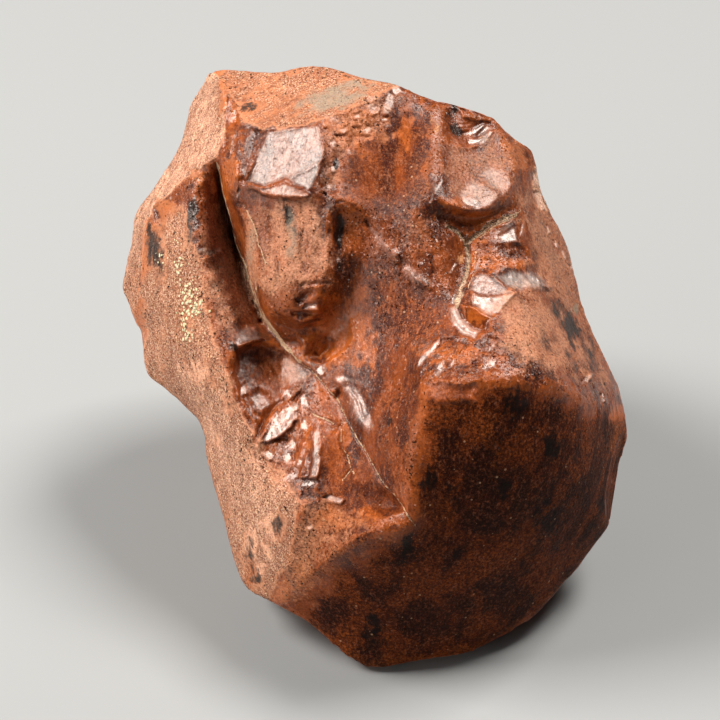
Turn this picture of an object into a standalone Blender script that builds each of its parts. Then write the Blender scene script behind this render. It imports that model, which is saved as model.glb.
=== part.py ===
"""A hand-sized chunk of mahogany obsidian, broken to shape, resting on one flat fracture face.

The stone is one solid. Its surface is set out as a draughtsman would, from one standing place: a front sheet,
which faces that place, and a back sheet behind it, both hung on the stone's outline. Corners of the front are
given on a sketching sheet ruled in small squares, each with how far it stands out towards the viewer. Corners
of the back and of the resting face are given on the bench, in millimetres.
"""

from math import cos, radians, sin

import bmesh
import bpy
from mathutils import Matrix, Vector
from mathutils.geometry import delaunay_2d_cdt

MM = 0.001

# Driving dimensions.
SQUARE_MM = 0.2  # one square of the sketching sheet, measured at the middle of the stone
SHEET_MIDDLE = 360  # the square that the line of sight passes through, across and down
SIGHT_MM = 350.0  # from the standing place to the middle of the stone
LOOK_DOWN_DEG = 38.0  # the line of sight slopes down by this much
BENCH_DROP_MM = 43.0  # the bench lies this far below the middle of the stone

SUBDIVISIONS = 3
KEPT_TRIANGLES = 0.18  # share of the subdivided triangles that the stone keeps
WORN_EDGE = 0.4  # how sharply the outline's edge is kept, from 0 to 1
SAME_CORNER = 0.5  # corners this close on the sheet, in squares, are one corner
INSIDE_OUTLINE = 1  # what a sheet fills: everything within its outline

# The outline, clockwise from the left end of the crown: squares across, squares down, millimetres out.
OUTLINE = [
    (207, 70, -5), (235, 67, -2), (258, 69, 1), (284, 69, 2), (297, 63, 3), (320, 62, 4), (350, 70, 6),
    (385, 80, 9), (400, 84, 11), (412, 88, 13), (440, 98, 13), (470, 107, 11), (493, 114, 9), (506, 130, 8),
    (524, 140, 6), (544, 156, 3), (545, 180, 2), (554, 204, 1), (565, 235, 1), (576, 265, 1),
    (588, 298, 0), (602, 331, 0), (610, 344, 0), (617, 371, -1), (625, 397, -2), (631, 424, -3),
    (632, 449, -3), (628, 480, -3), (622, 502, -3), (614, 523, -2), (604, 543, -1), (590, 560, 0),
    (579, 576, 1), (569, 583, 3), (552, 606, 4), (536, 622, 4), (517, 632, 5), (501, 640, 5),
    (480, 651, 6), (470, 657, 7), (431, 662, 8), (398, 668, 9), (375, 672, 9), (357, 667, 9),
    (340, 652, 10), (318, 634, 10), (300, 618, 10), (278, 608, 9), (260, 600, 7), (244, 591, 4),
    (234, 565, 2), (226, 530, 1), (217, 500, 0), (208, 470, -1), (202, 442, -2), (195, 422, -3),
    (178, 405, -4), (161, 390, -5), (142, 377, -6), (139, 352, -6), (137, 330, -7), (128, 307, -8),
    (118, 290, -9), (123, 268, -10), (130, 242, -10), (130, 216, -9), (147, 195, -7), (160, 175, -7),
    (168, 160, -7), (172, 135, -9), (183, 112, -10), (195, 90, -9), (202, 77, -8),
]

# Edges where two fracture faces meet: sharpness from 0 to 1, then the corners along the edge.
RIDGES = {
    "crown_left_edge": (0.9, [(222, 78, 2), (222, 100, 6), (228, 126, 9), (216, 158, 12)]),
    "crown_left_top": (0.9, [(207, 70, -5), (222, 78, 2)]),
    "crown_front_edge": (0.9, [(228, 126, 9), (240, 121, 12), (262, 126, 15), (300, 125, 18), (320, 120, 19),
                               (345, 112, 19), (368, 104, 19), (388, 92, 16), (400, 84, 11)]),
    "left_shoulder": (0.9, [(216, 158, 12), (200, 168, 9), (175, 186, 5), (155, 203, 1), (146, 228, 0),
                            (143, 255, 0), (137, 285, 0), (135, 312, -1), (137, 330, -7)]),
    "cheek_bend": (0.2, [(200, 168, 9), (195, 200, 10), (196, 240, 12), (203, 270, 13), (208, 300, 14),
                         (212, 330, 15), (222, 350, 16)]),
    "groove": (0.8, [(216, 158, 12), (217, 172, 9), (222, 205, 5), (230, 235, 3), (239, 270, 3),
                     (250, 300, 5), (262, 322, 8), (282, 345, 12), (300, 360, 15)]),
    "groove_right_lip": (0.6, [(216, 158, 12), (229, 190, 15), (243, 215, 18), (252, 240, 19), (258, 270, 19),
                               (260, 295, 19), (272, 318, 17), (292, 335, 14)]),
    "window_left": (0.5, [(240, 121, 12), (240, 150, 17), (238, 178, 19), (229, 190, 15)]),
    "window_sill": (0.9, [(238, 178, 19), (250, 184, 20), (270, 190, 22), (300, 194, 24), (318, 190, 24)]),
    "window_right": (0.7, [(320, 120, 19), (323, 150, 23), (318, 190, 24)]),
    "nose": (0.5, [(318, 190, 24), (330, 215, 24), (331, 250, 24), (328, 285, 24), (318, 312, 21),
                   (300, 318, 20), (285, 308, 21), (272, 318, 17)]),
    "hollow_arch": (0.7, [(318, 190, 24), (335, 200, 25), (350, 203, 24), (364, 213, 23)]),
    "hollow_rib": (0.2, [(364, 213, 23), (385, 243, 23), (405, 268, 24), (425, 287, 25)]),
    "dish_left_rib": (0.3, [(440, 98, 13), (438, 130, 18), (432, 165, 22), (434, 190, 24), (428, 204, 24)]),
    "dish_lip": (0.8, [(428, 204, 24), (450, 206, 24), (470, 209, 23), (492, 207, 21), (508, 190, 17),
                       (515, 170, 14), (508, 148, 12), (490, 117, 9)]),
    "dish_foot": (0.4, [(428, 212, 23), (450, 216, 21), (475, 219, 19), (498, 213, 17), (520, 205, 15)]),
    "crust_line": (0.7, [(520, 212, 16), (500, 223, 18), (475, 236, 19), (465, 250, 20), (460, 278, 22),
                         (452, 303, 26)]),
    "right_shoulder": (0.4, [(520, 212, 16), (523, 245, 18), (538, 275, 17), (558, 298, 14), (575, 335, 12)]),
    "facet_ridge": (0.7, [(490, 268, 23), (510, 288, 25), (530, 288, 22), (538, 275, 17)]),
    "facet_point": (0.7, [(530, 288, 22), (510, 305, 27), (492, 314, 30), (470, 303, 29), (460, 278, 22)]),
    "brow_left": (0.8, [(414, 372, 31), (419, 357, 32), (438, 341, 31), (455, 330, 30)]),
    "brow_edge": (0.6, [(428, 384, 38), (450, 382, 39), (475, 380, 40), (515, 376, 39), (550, 384, 35),
                        (580, 395, 28), (603, 408, 17)]),
    "brow_top": (0.3, [(438, 350, 33), (470, 342, 35), (505, 342, 35), (545, 348, 30), (580, 366, 20)]),
    "face_left_edge": (0.3, [(428, 384, 38), (418, 420, 37), (408, 450, 36), (410, 490, 35), (412, 525, 33)]),
    "keel": (0.8, [(412, 525, 33), (385, 530, 32), (358, 538, 30), (335, 553, 27), (316, 572, 22),
                   (300, 584, 18), (285, 600, 13), (278, 608, 9)]),
    "apron_edge": (0.5, [(317, 485, 26), (300, 505, 25), (296, 525, 24), (291, 550, 21), (285, 572, 18),
                         (285, 600, 13)]),
    "shard_ridge": (0.8, [(322, 415, 21), (321, 450, 24), (317, 485, 26)]),
    "hairline": (0.5, [(300, 360, 15), (320, 374, 17), (336, 396, 18), (352, 428, 22), (370, 460, 26),
                       (388, 490, 30), (412, 525, 33)]),
    "scar_rim": (0.8, [(282, 345, 12), (262, 344, 15), (240, 347, 16), (230, 360, 17), (230, 380, 17),
                       (240, 402, 17), (250, 425, 18), (256, 445, 19)]),
    "scar_step": (0.8, [(256, 445, 19), (258, 428, 17), (270, 412, 16), (284, 402, 17), (300, 400, 18)]),
    "left_foot_edge": (0.8, [(202, 442, -2), (211, 465, 2), (218, 492, 3), (225, 522, 4), (234, 550, 5),
                             (244, 575, 6), (260, 600, 7)]),
}

# Points inside the front's faces, which make them dished or full.
FACES = {
    "crown": [(250, 95, 6), (290, 95, 10), (335, 92, 11)],
    "upper_left": [(200, 110, -2), (195, 140, 2), (185, 165, 1)],
    "left_strip": [(133, 260, -5), (128, 285, -5), (142, 215, -3)],
    "cheek": [(165, 240, 5), (170, 280, 7), (180, 320, 10), (165, 350, 6), (200, 360, 14), (185, 385, 8),
              (215, 400, 14), (225, 430, 14)],
    "apron": [(240, 470, 15), (270, 475, 21), (245, 510, 14), (275, 520, 20), (255, 550, 13),
              (270, 580, 13)],
    "cheek_inner": [(213, 230, 10), (222, 275, 11), (232, 305, 12), (240, 330, 14)],
    "window": [(275, 155, 18), (300, 155, 20)],
    "window_pillar": [(233, 145, 14)],
    "tongue": [(262, 225, 20), (285, 230, 22), (305, 225, 23), (285, 270, 23), (305, 290, 23)],
    "hollow": [(345, 235, 20), (347, 275, 19), (362, 245, 21), (370, 290, 20), (340, 310, 17), (320, 345, 13),
               (302, 338, 14), (350, 335, 17), (340, 362, 18), (375, 340, 21)],
    "upper_middle": [(350, 140, 19), (345, 175, 21), (375, 165, 20), (400, 130, 17), (405, 175, 20),
                     (390, 205, 22), (412, 225, 24), (430, 250, 25)],
    "centre_right": [(400, 310, 23), (430, 300, 26), (440, 320, 28), (400, 350, 26), (412, 335, 27),
                     (385, 380, 25), (403, 395, 31)],
    "dish": [(465, 150, 15), (485, 165, 16), (462, 180, 19), (485, 192, 19), (465, 125, 13), (455, 195, 21)],
    "crust_left": [(445, 240, 23), (440, 275, 25)],
    "facets": [(500, 240, 20), (512, 262, 20), (480, 280, 25), (505, 297, 27)],
    "below_facets": [(475, 322, 31), (520, 318, 29), (545, 325, 24), (500, 328, 32)],
    "shoulder": [(528, 180, 10), (540, 220, 9), (553, 255, 8), (570, 300, 7), (590, 345, 8)],
    "big_face": [(440, 430, 37), (480, 430, 38), (520, 430, 36), (560, 440, 31), (595, 450, 22),
                 (440, 480, 34), (490, 490, 33), (540, 490, 29), (585, 500, 18),
                 (430, 550, 28), (480, 550, 26), (530, 550, 20), (380, 570, 26), (340, 600, 19),
                 (390, 620, 17), (440, 610, 18), (490, 600, 16), (345, 630, 14)],
    "scar": [(252, 372, 12), (270, 375, 12), (265, 395, 13), (290, 378, 14)],
    "shards": [(280, 425, 18), (300, 425, 19), (285, 455, 20), (305, 460, 22), (270, 455, 19)],
    "wedge": [(345, 440, 20), (345, 475, 23), (365, 505, 28), (335, 515, 26), (315, 540, 24)],
    "below_hollow": [(360, 385, 21), (375, 415, 26), (390, 450, 31), (395, 420, 31)],
}

# Corners of the flat resting face, on the bench: millimetres to the right and away.
FOOT = [(2, -38), (24, -33), (36, -10), (32, 14), (6, 26), (-20, 16), (-24, -12)]

# Edges of the back, with the same sharpness first: millimetres to the right, away and above the bench.
BACK_EDGES = {
    "nape_ridge": (0.45, [(-31, 46, 58), (-14, 51, 59), (4, 52, 55), (18, 49, 53), (29, 43, 49)]),
    "left_rear_corner": (0.4, [(-31, 46, 58), (-30, 42, 42), (-26, 34, 24), (-20, 16, 0)]),
    "right_rear_corner": (0.4, [(29, 43, 49), (35, 38, 32), (36, 27, 14), (32, 14, 0)]),
    "middle_ridge": (0.3, [(4, 52, 55), (8, 49, 34), (10, 40, 14), (6, 26, 0)]),
}
# Points inside the back's faces, on the bench too.
BACK_FACES = {
    "nape": [(-22, 44, 74), (-4, 42, 77), (12, 38, 76), (24, 35, 66)],
    "rear_left": [(-14, 45, 42), (-8, 43, 24), (-10, 33, 10)],
    "rear_right": [(20, 44, 38), (24, 38, 20)],
    "left_flank": [(-41, 32, 56), (-42, 24, 42), (-37, 20, 27), (-30, 4, 12)],
    "right_flank": [(38, 32, 52), (44, 20, 40), (46, 8, 24), (42, -6, 12)],
}


def clear_scene():
    for obj in list(bpy.data.objects):
        bpy.data.objects.remove(obj)


class Sight:
    """The line of sight from the standing place: turns sheet readings into bench positions, and back."""

    def __init__(self):
        down = radians(LOOK_DOWN_DEG)
        self.right = Vector((1, 0, 0))
        self.up = Vector((0, sin(down), cos(down)))
        self.toward = Vector((0, -cos(down), sin(down)))
        self.middle = Vector((0, 0, BENCH_DROP_MM))

    def place(self, across, below, out):
        """Bench position, in millimetres, of a corner read off the sheet."""
        spread = SQUARE_MM * (1 - out / SIGHT_MM)
        return (
            self.middle
            + self.right * (across - SHEET_MIDDLE) * spread
            + self.up * (SHEET_MIDDLE - below) * spread
            + self.toward * out
        )

    def read(self, position):
        """Where a bench position shows on the sheet, as squares right and up of the middle."""
        offset = position - self.middle
        spread = SQUARE_MM * (1 - offset.dot(self.toward) / SIGHT_MM)
        return Vector((offset.dot(self.right) / spread, offset.dot(self.up) / spread))


def hang_sheet(sight, outline, edges, points):
    """A sheet of triangles inside the outline, through the given edges and points.

    Returns its corners, its faces, and the sharpness of each edge between two corners.
    """
    corners, links, sharpness = list(outline), [], []
    for sharp, line in [(WORN_EDGE, outline + outline[:1])] + edges:
        first = len(corners)
        corners += line
        for i in range(first, len(corners) - 1):
            links.append((i, i + 1))
            sharpness.append(sharp)
    corners += points
    seen = [sight.read(corner) for corner in corners]
    _, made_links, faces, from_corner, from_link, _ = delaunay_2d_cdt(
        seen, links, [], INSIDE_OUTLINE, SAME_CORNER
    )
    if not all(from_corner):
        raise ValueError("two edges of the sketch cross between their corners")
    placed = [corners[ids[0]] for ids in from_corner]
    creases = {}
    for link, ids in zip(made_links, from_link):
        if ids:
            creases[link] = max(sharpness[i] for i in ids)
    return placed, faces, creases


def add_sheet(bm, sheet, turned):
    """Puts one sheet in the mesh, with its faces turned over if it looks away from the standing place."""
    placed, faces, creases = sheet
    crease = bm.edges.layers.float["crease_edge"]
    verts = [bm.verts.new(p * MM) for p in placed]
    for face in faces:
        loop = [verts[i] for i in face]
        bm.faces.new(loop[::-1] if turned else loop)
    for (a, b), sharp in creases.items():
        bm.edges.get((verts[a], verts[b]))[crease] = sharp


def join_sheets(front, back):
    """One closed mesh from the two sheets, which share the outline's corners."""
    bm = bmesh.new()
    bm.edges.layers.float.new("crease_edge")
    add_sheet(bm, front, turned=False)
    add_sheet(bm, back, turned=True)
    bmesh.ops.remove_doubles(bm, verts=bm.verts, dist=0.01 * MM)
    bmesh.ops.recalc_face_normals(bm, faces=bm.faces)
    return bm


def quads_where_smooth(bm):
    """Joins triangles across edges that aren't creased, so that the subdivision runs evenly."""
    crease = bm.edges.layers.float["crease_edge"]
    for edge in bm.edges:
        edge.smooth = edge[crease] == 0
    bmesh.ops.join_triangles(
        bm,
        faces=bm.faces,
        cmp_sharp=True,
        angle_face_threshold=radians(50),
        angle_shape_threshold=radians(60),
    )


def obsidian():
    material = bpy.data.materials.new("mahogany_obsidian")
    material.use_nodes = True
    shader = material.node_tree.nodes["Principled BSDF"]
    shader.inputs["Base Color"].default_value = (0.22, 0.055, 0.022, 1)
    shader.inputs["Roughness"].default_value = 0.3
    shader.inputs["Metallic"].default_value = 0.0
    return material


def centre_on_foot(stone):
    """Moves the stone's mesh so that the origin is under the middle of the finished solid's box, on the bench."""
    bpy.context.view_layer.update()
    finished = stone.evaluated_get(bpy.context.evaluated_depsgraph_get()).to_mesh()
    low = [min(v.co[k] for v in finished.vertices) for k in range(3)]
    high = [max(v.co[k] for v in finished.vertices) for k in range(3)]
    shift = Vector((-(low[0] + high[0]) / 2, -(low[1] + high[1]) / 2, -low[2]))
    stone.data.transform(Matrix.Translation(shift))


def stone_cage():
    """The stone's corners, faces and creases, before they are rounded."""
    sight = Sight()
    outline = [sight.place(*corner) for corner in OUTLINE]
    ridges = [(sharp, [sight.place(*c) for c in line]) for sharp, line in RIDGES.values()]
    points = [sight.place(*c) for group in FACES.values() for c in group]
    front = hang_sheet(sight, outline, ridges, points)

    foot = [Vector((x, y, 0)) for x, y in FOOT]
    foot_edge = [(1.0, foot + foot[:1])]
    back_edges = [(sharp, [Vector(c) for c in line]) for sharp, line in BACK_EDGES.values()]
    back_points = [Vector(c) for group in BACK_FACES.values() for c in group]
    back = hang_sheet(sight, outline, foot_edge + back_edges, back_points)
    return join_sheets(front, back)


def build_stone():
    bm = stone_cage()
    quads_where_smooth(bm)
    mesh = bpy.data.meshes.new("obsidian_stone")
    bm.to_mesh(mesh)
    bm.free()
    stone = bpy.data.objects.new("obsidian_stone", mesh)
    bpy.context.scene.collection.objects.link(stone)
    mesh.materials.append(obsidian())
    mesh.shade_smooth()
    smooth = stone.modifiers.new("fracture faces", "SUBSURF")
    smooth.levels = smooth.render_levels = SUBDIVISIONS
    thin = stone.modifiers.new("fewer triangles on flat faces", "DECIMATE")
    thin.ratio = KEPT_TRIANGLES
    centre_on_foot(stone)


clear_scene()
build_stone()
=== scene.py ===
from math import cos, pi, radians, sin

import bmesh
import bpy
import numpy as np
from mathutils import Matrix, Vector
from mathutils.bvhtree import BVHTree


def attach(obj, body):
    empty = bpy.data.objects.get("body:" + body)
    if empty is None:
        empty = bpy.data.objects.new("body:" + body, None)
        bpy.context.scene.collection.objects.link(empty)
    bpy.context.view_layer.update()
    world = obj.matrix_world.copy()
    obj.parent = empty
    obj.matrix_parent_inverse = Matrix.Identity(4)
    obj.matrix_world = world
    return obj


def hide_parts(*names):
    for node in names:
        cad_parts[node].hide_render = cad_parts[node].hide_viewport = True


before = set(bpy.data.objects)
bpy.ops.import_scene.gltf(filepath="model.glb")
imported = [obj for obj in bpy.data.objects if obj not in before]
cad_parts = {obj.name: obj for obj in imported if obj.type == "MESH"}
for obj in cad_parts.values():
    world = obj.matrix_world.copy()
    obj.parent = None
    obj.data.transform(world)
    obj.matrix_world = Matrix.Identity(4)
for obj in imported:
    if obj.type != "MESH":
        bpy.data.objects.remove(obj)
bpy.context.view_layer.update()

# The stone is carved on the sketching sheet that its solid was laid out on. A square of the sheet is 0.2 mm at
# the stone's middle, x counts squares to the right and y squares down, and the line of sight slopes down.
sheet = {
    "squareMm": 0.2,
    "squares": 720,  # along each side
    "sightMm": 350.0,
    "lookDownDeg": 38.0,
    "middleMm": (-2.32, -3.41, 43.0),  # the sheet's middle in the part's frame
}
# The lights' directions are in the sheet's right, up and out.
studio = {
    "floorColour": "#92918E", "floorRoughness": 0.9, "floorHalfM": 4,
    "keyWatts": 21, "keyMm": 430, "keyFrom": (-0.66, 0.61, 0.42), "keyM": 1.2,
    "backWatts": 24, "backMm": 430, "backFrom": (0.38, 0.84, 0.36), "backM": 1.3,
    "sideWatts": 7, "sideMm": 700, "sideFrom": (-0.85, -0.22, 0.48), "sideM": 1.2,
    "sky": "#F2F4F8", "skyStrength": 0.05,
    "sensorMm": 36, "nearestM": 0.01,  # the camera's width of film and the nearest thing that it shows
}
lookDown = radians(sheet["lookDownDeg"])
sheetAxes = np.array([[1, 0, 0], [0, sin(lookDown), cos(lookDown)], [0, -cos(lookDown), sin(lookDown)]])
station = np.array([0, 0, sheet["sightMm"]])  # the standing place, in the sheet's right, up and out
middleM = Vector(sheet["middleMm"]) / 1000


def toSheet(pointsM):
    # metres in the part's frame to millimetres right, up and out from the sheet's middle
    return (np.asarray(pointsM) * 1000 - sheet["middleMm"]) @ sheetAxes.T


def fromSheet(places):
    # the way back: millimetres on the sheet to metres in the part's frame
    return (places @ sheetAxes + sheet["middleMm"]) / 1000


def drawn(places):
    # where a place shows on the sheet, in mm right and up
    return places[:, :2] / (1 - places[:, 2:] / sheet["sightMm"])


def squares(points):
    # sheet squares to mm right and up
    grid = np.asarray(points, float)
    return (grid - sheet["squares"] / 2) * (sheet["squareMm"], -sheet["squareMm"])


def smoothStep(low, high, value):
    # 0 up to low, 1 from high on and an even rise between; high may also be the lower of the two
    t = np.clip((value - low) / (high - low), 0, 1)
    return t * t * (3 - 2 * t)


latticeSize = 40
scatter = np.random.default_rng(5).random((latticeSize, latticeSize, latticeSize, 7))
# how far each seed and each finer octave moves through the lattice
noiseSeedStep = np.array([7.31, 3.17, 5.71])
noiseOctaveStep = np.array([3.7, 0, 0])
scallopSeedStep = np.array([5.13, 2.71, 8.37])


def noiseAt(points, sizeMm, seed=0, octaves=1, gain=0.5):
    # soft random values from -1 to 1, with lumps of about sizeMm
    total = np.zeros(len(points))
    loudness, whole = 1.0, 0.0
    for octave in range(octaves):
        q = points / (sizeMm * 0.5 ** octave) + (seed * noiseSeedStep + octave * noiseOctaveStep)
        cell = np.floor(q).astype(int)
        t = q - cell
        t = t * t * (3 - 2 * t)
        near, far = cell % latticeSize, (cell + 1) % latticeSize
        value = 0
        for corner in range(8):
            pick = [(far if corner >> k & 1 else near)[:, k] for k in range(3)]
            share = [(t if corner >> k & 1 else 1 - t)[:, k] for k in range(3)]
            value = value + (scatter[pick[0], pick[1], pick[2], 0] * 2 - 1) * share[0] * share[1] * share[2]
        total += value * loudness
        whole += loudness
        loudness *= gain
    return total / whole


def scallopsAt(points, sizeMm, seed=0, tilt=0.5, bowl=1.0, uneven=0.25):
    # hollows about sizeMm wide that meet in sharp ridges: 0 in a hollow, about 0.6 on a ridge; with more tilt
    # and less bowl they turn into flat plates
    q = points / sizeMm + seed * scallopSeedStep
    cell = np.floor(q).astype(int)
    best = np.full(len(points), 1e9)
    for i in (-1, 0, 1):
        for j in (-1, 0, 1):
            for k in (-1, 0, 1):
                there = cell + (i, j, k)
                x, y, z = (there % latticeSize).T
                random = scatter[x, y, z]
                offset = q - there - random[:, :3]
                curve = bowl * (offset ** 2).sum(1)
                lean = tilt * ((random[:, 3:6] - 0.5) * offset).sum(1)
                best = np.minimum(best, curve + lean + uneven * random[:, 6])
    return best


def nearLine(xy, line):
    # distance in mm to a line of corners, the side of it (1 left, -1 right) and how far along it the nearest
    # place is, from 0 to 1
    ends = squares(line)
    lengths = np.linalg.norm(np.diff(ends, axis=0), axis=1)
    starts = np.concatenate([[0], np.cumsum(lengths)])
    best = np.full(len(xy), 1e9)
    side, along = np.zeros(len(xy)), np.zeros(len(xy))
    for i in range(len(ends) - 1):
        a, run = ends[i], ends[i + 1] - ends[i]
        offset = xy - a
        t = np.clip(offset @ run / (run @ run), 0, 1)
        gap = offset - t[:, None] * run
        d = np.hypot(gap[:, 0], gap[:, 1])
        closer = d < best
        best = np.where(closer, d, best)
        side = np.where(closer, np.sign(run[0] * offset[:, 1] - run[1] * offset[:, 0]), side)
        along = np.where(closer, (starts[i] + t * lengths[i]) / starts[-1], along)
    return best, side, along


def fadedEnds(along, over, beyond=0.0):
    # how much of a line's depth shows: it fades out over this share of its length at both ends
    return smoothStep(-beyond, over, along) * smoothStep(1 + beyond, 1 - over, along)


def insideRim(xy, rim):
    # distance in mm to the rim of an area, positive inside and negative outside
    corners = squares(rim)
    inside = np.zeros(len(xy), bool)
    x, y = xy[:, 0], xy[:, 1]
    for (ax, ay), (bx, by) in zip(corners, np.roll(corners, -1, axis=0)):
        if ay == by:
            continue
        crosses = ((ay > y) != (by > y)) & (x < (bx - ax) * (y - ay) / (by - ay) + ax)
        inside ^= crosses
    distance = nearLine(xy, list(rim) + [rim[0]])[0]
    return np.where(inside, distance, -distance)


stoneShape = {
    "voxelMm": 0.30,
    "quickVoxelMm": 0.6,
    "mostTriangles": 192000,
    "keepFront": 0.8, "keepFactor": 2e-6,  # how much denser the drawn side stays
    "swellMm": 0.14,  # low waves on old fracture faces
    # how far the edges drawn below wander from their lines, and the size and share of each wander (mm)
    "wobbleMm": 0.3, "wobbles": ((3.0, 1.0), (1.0, 0.5)),
    "facing": (0.04, 0.22),  # how squarely a place has to face the viewer for none and for all of the carving
    "hackles": ((1.5, 0.075), (0.75, 0.045)),  # size and depth of the small scallops on broken faces (mm)
    "edgeChips": ((3.2, 0.55), (1.5, 0.3)),  # size and depth of the chips along worn edges (mm)
    "ruggedMm": 22, "ruggedChips": ((3.6, 1.3), (1.5, 0.5)),  # patches of crushed breaks on the sides not drawn
}


class Carving:
    # the visible side of the stone as a sheet of heights towards the viewer

    def __init__(self, pointsM, normals):
        self.places = toSheet(pointsM)
        towards = station - self.places
        towards /= np.linalg.norm(towards, axis=1)[:, None]
        self.facing = smoothStep(*stoneShape["facing"], ((normals @ sheetAxes.T) * towards).sum(1))
        self.drawn = drawn(self.places)
        self.out = self.places[:, 2].copy()
        # broken edges are never straight: the places are looked up a little off where they are
        for seed, (lump, share) in enumerate(stoneShape["wobbles"], 21):
            push = np.stack([noiseAt(self.places, lump, seed), noiseAt(self.places, lump, seed + 5)], 1)
            self.drawn = self.drawn + push * stoneShape["wobbleMm"] * share

    def near(self, points, reach):
        # the visible places within reach of a set of sheet corners
        corners = squares(points)
        low, high = corners.min(0) - reach, corners.max(0) + reach
        inBox = ((self.drawn > low) & (self.drawn < high)).all(1) & (self.facing > 0)
        return np.nonzero(inBox)[0]

    def move(self, picked, amount):
        self.out[picked] += amount * self.facing[picked]

    def finish(self):
        # slides each place along its line of sight to its new height
        rays = self.places - station
        stretch = (sheet["sightMm"] - self.out) / (sheet["sightMm"] - self.places[:, 2])
        return fromSheet(station + rays * stretch[:, None])


# Shallow scars with a crisp rim: depth (mm), how far the rim's slope runs in (mm), where the blow fell, and
# the height and spacing of the ripples round it (mm).
scars = {
    "crescent": dict(depth=0.5, run=5.0, strike=(262, 322), ripple=(0.03, 1.5), rim=[
        (231, 364), (236, 352), (243, 346), (252, 341), (262, 338), (272, 342), (285, 352), (299, 364),
        (306, 374), (296, 384), (284, 392), (281, 402), (270, 412), (260, 422), (252, 412), (242, 398),
        (233, 386), (229, 374)]),
    "dish": dict(depth=0.3, run=6.0, strike=(455, 120), ripple=(0.015, 1.6), rim=[
        (438, 142), (452, 148), (464, 149), (478, 144), (496, 132), (508, 142), (515, 158), (516, 178),
        (508, 196), (497, 210), (480, 214), (462, 209), (450, 204), (444, 196), (446, 175), (444, 158)]),
    "shell": dict(depth=0.9, run=2.0, strike=(462, 108), ripple=(0.07, 0.95), rim=[
        (444, 114), (449, 106), (458, 108), (464, 117), (478, 120), (492, 122), (494, 131), (480, 141),
        (466, 147), (452, 144), (442, 134)]),
    "faceLeft": dict(depth=0.25, run=5.0, strike=(392, 88), ripple=(0.03, 2.3), rim=[
        (340, 166), (347, 156), (354, 148), (366, 141), (378, 134), (387, 118), (394, 102), (406, 98),
        (420, 104), (431, 114), (432, 140), (424, 165), (412, 190), (385, 200), (360, 196), (345, 194),
        (336, 184)]),
    "alcove": dict(depth=0.12, run=2.2, strike=(345, 195), rim=[
        (330, 211), (338, 205), (348, 207), (354, 218), (357, 240), (356, 262), (350, 282), (342, 290),
        (334, 282), (331, 262), (329, 236)]),
    "browPocket": dict(depth=0.5, run=1.8, strike=(450, 380), rim=[
        (428, 386), (440, 382), (458, 384), (474, 382), (479, 388), (470, 393), (452, 392), (436, 394)]),
    "cheekPit": dict(depth=0.5, run=0.7, strike=(178, 330), rim=[
        (176, 326), (181, 322), (186, 330), (184, 338), (177, 337)]),
    "cheekNotch": dict(depth=0.7, run=0.9, strike=(156, 206), rim=[
        (153, 208), (160, 204), (164, 212), (162, 224), (156, 222)]),
    "shoulderPit": dict(depth=0.5, run=0.8, strike=(578, 300), rim=[
        (570, 300), (580, 303), (585, 314), (578, 320), (570, 312)]),
    "browNick": dict(depth=0.35, run=2.5, strike=(535, 360), rim=[
        (526, 364), (536, 362), (544, 374), (543, 388), (532, 390), (525, 378)]),
}


def carveScar(carving, rim, depth, run, strike, ripple=(0, 1)):
    picked = carving.near(rim, reach=0.3)
    xy = carving.drawn[picked]
    edge = insideRim(xy, rim)
    t = np.clip(edge / run, 0, 1)
    bowl = np.sqrt(np.clip(1 - (1 - t) ** 2, 0, 1))
    height, spacing = ripple
    r = np.linalg.norm(xy - squares([strike])[0], axis=1)
    beat = r / spacing + 0.45 * noiseAt(carving.places[picked], sizeMm=5, seed=61)
    waves = height * np.cos(2 * pi * beat) * smoothStep(0, 1, t)
    carving.move(picked, np.where(edge > 0, -depth * bowl + waves, 0))


# Steps: the ground to the left of the line, walking along it, stands higher by this much (mm) and falls back
# over the run (mm).
ledges = {
    "windowDrop": dict(height=0.9, run=3.0, line=[(246, 188), (262, 195), (285, 199), (312, 199)]),
    "crownStep": dict(height=0.4, run=3.0, line=[(240, 128), (262, 130), (300, 128), (320, 122)]),
    "slabRight": dict(height=-0.3, run=3.0, line=[(330, 206), (331, 240), (329, 275), (326, 290)]),
    "noseStep": dict(height=-0.5, run=2.5, line=[(326, 296), (320, 314), (304, 325), (286, 320), (268, 304)]),
    "dishLip": dict(height=0.1, run=2.8, line=[
        (440, 203), (460, 209), (480, 214), (496, 210), (509, 196), (516, 178), (515, 160)]),
    "wedgeStep": dict(height=-0.6, run=3.0, line=[(322, 427), (322, 446), (319, 466), (316, 482)]),
    "shoulderStep": dict(height=0.4, run=4.0, line=[
        (524, 212), (531, 240), (548, 268), (560, 296), (572, 330)]),
    "apronStep": dict(height=0.5, run=2.5, line=[(303, 500), (296, 525), (290, 550), (283, 575)]),
    "foldStep": dict(height=0.8, run=3.5, line=[(350, 316), (352, 334), (346, 350), (334, 358), (322, 366)]),
    "scarCleft": dict(height=0.4, run=2.2, line=[(284, 396), (277, 407), (268, 417), (261, 428), (258, 442)]),
}


def carveLedge(carving, line, height, run):
    picked = carving.near(line, reach=run * 3)
    d, side, along = nearLine(carving.drawn[picked], line)
    across = smoothStep(-0.25, 0.25, d * side)
    carving.move(picked, height * (across - 0.5) * fadedEnds(along, over=0.15) * np.exp(-d / run))


plates = {"tilt": 2.2, "bowl": 0.35}  # chips that come away flat rather than hollow
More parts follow.
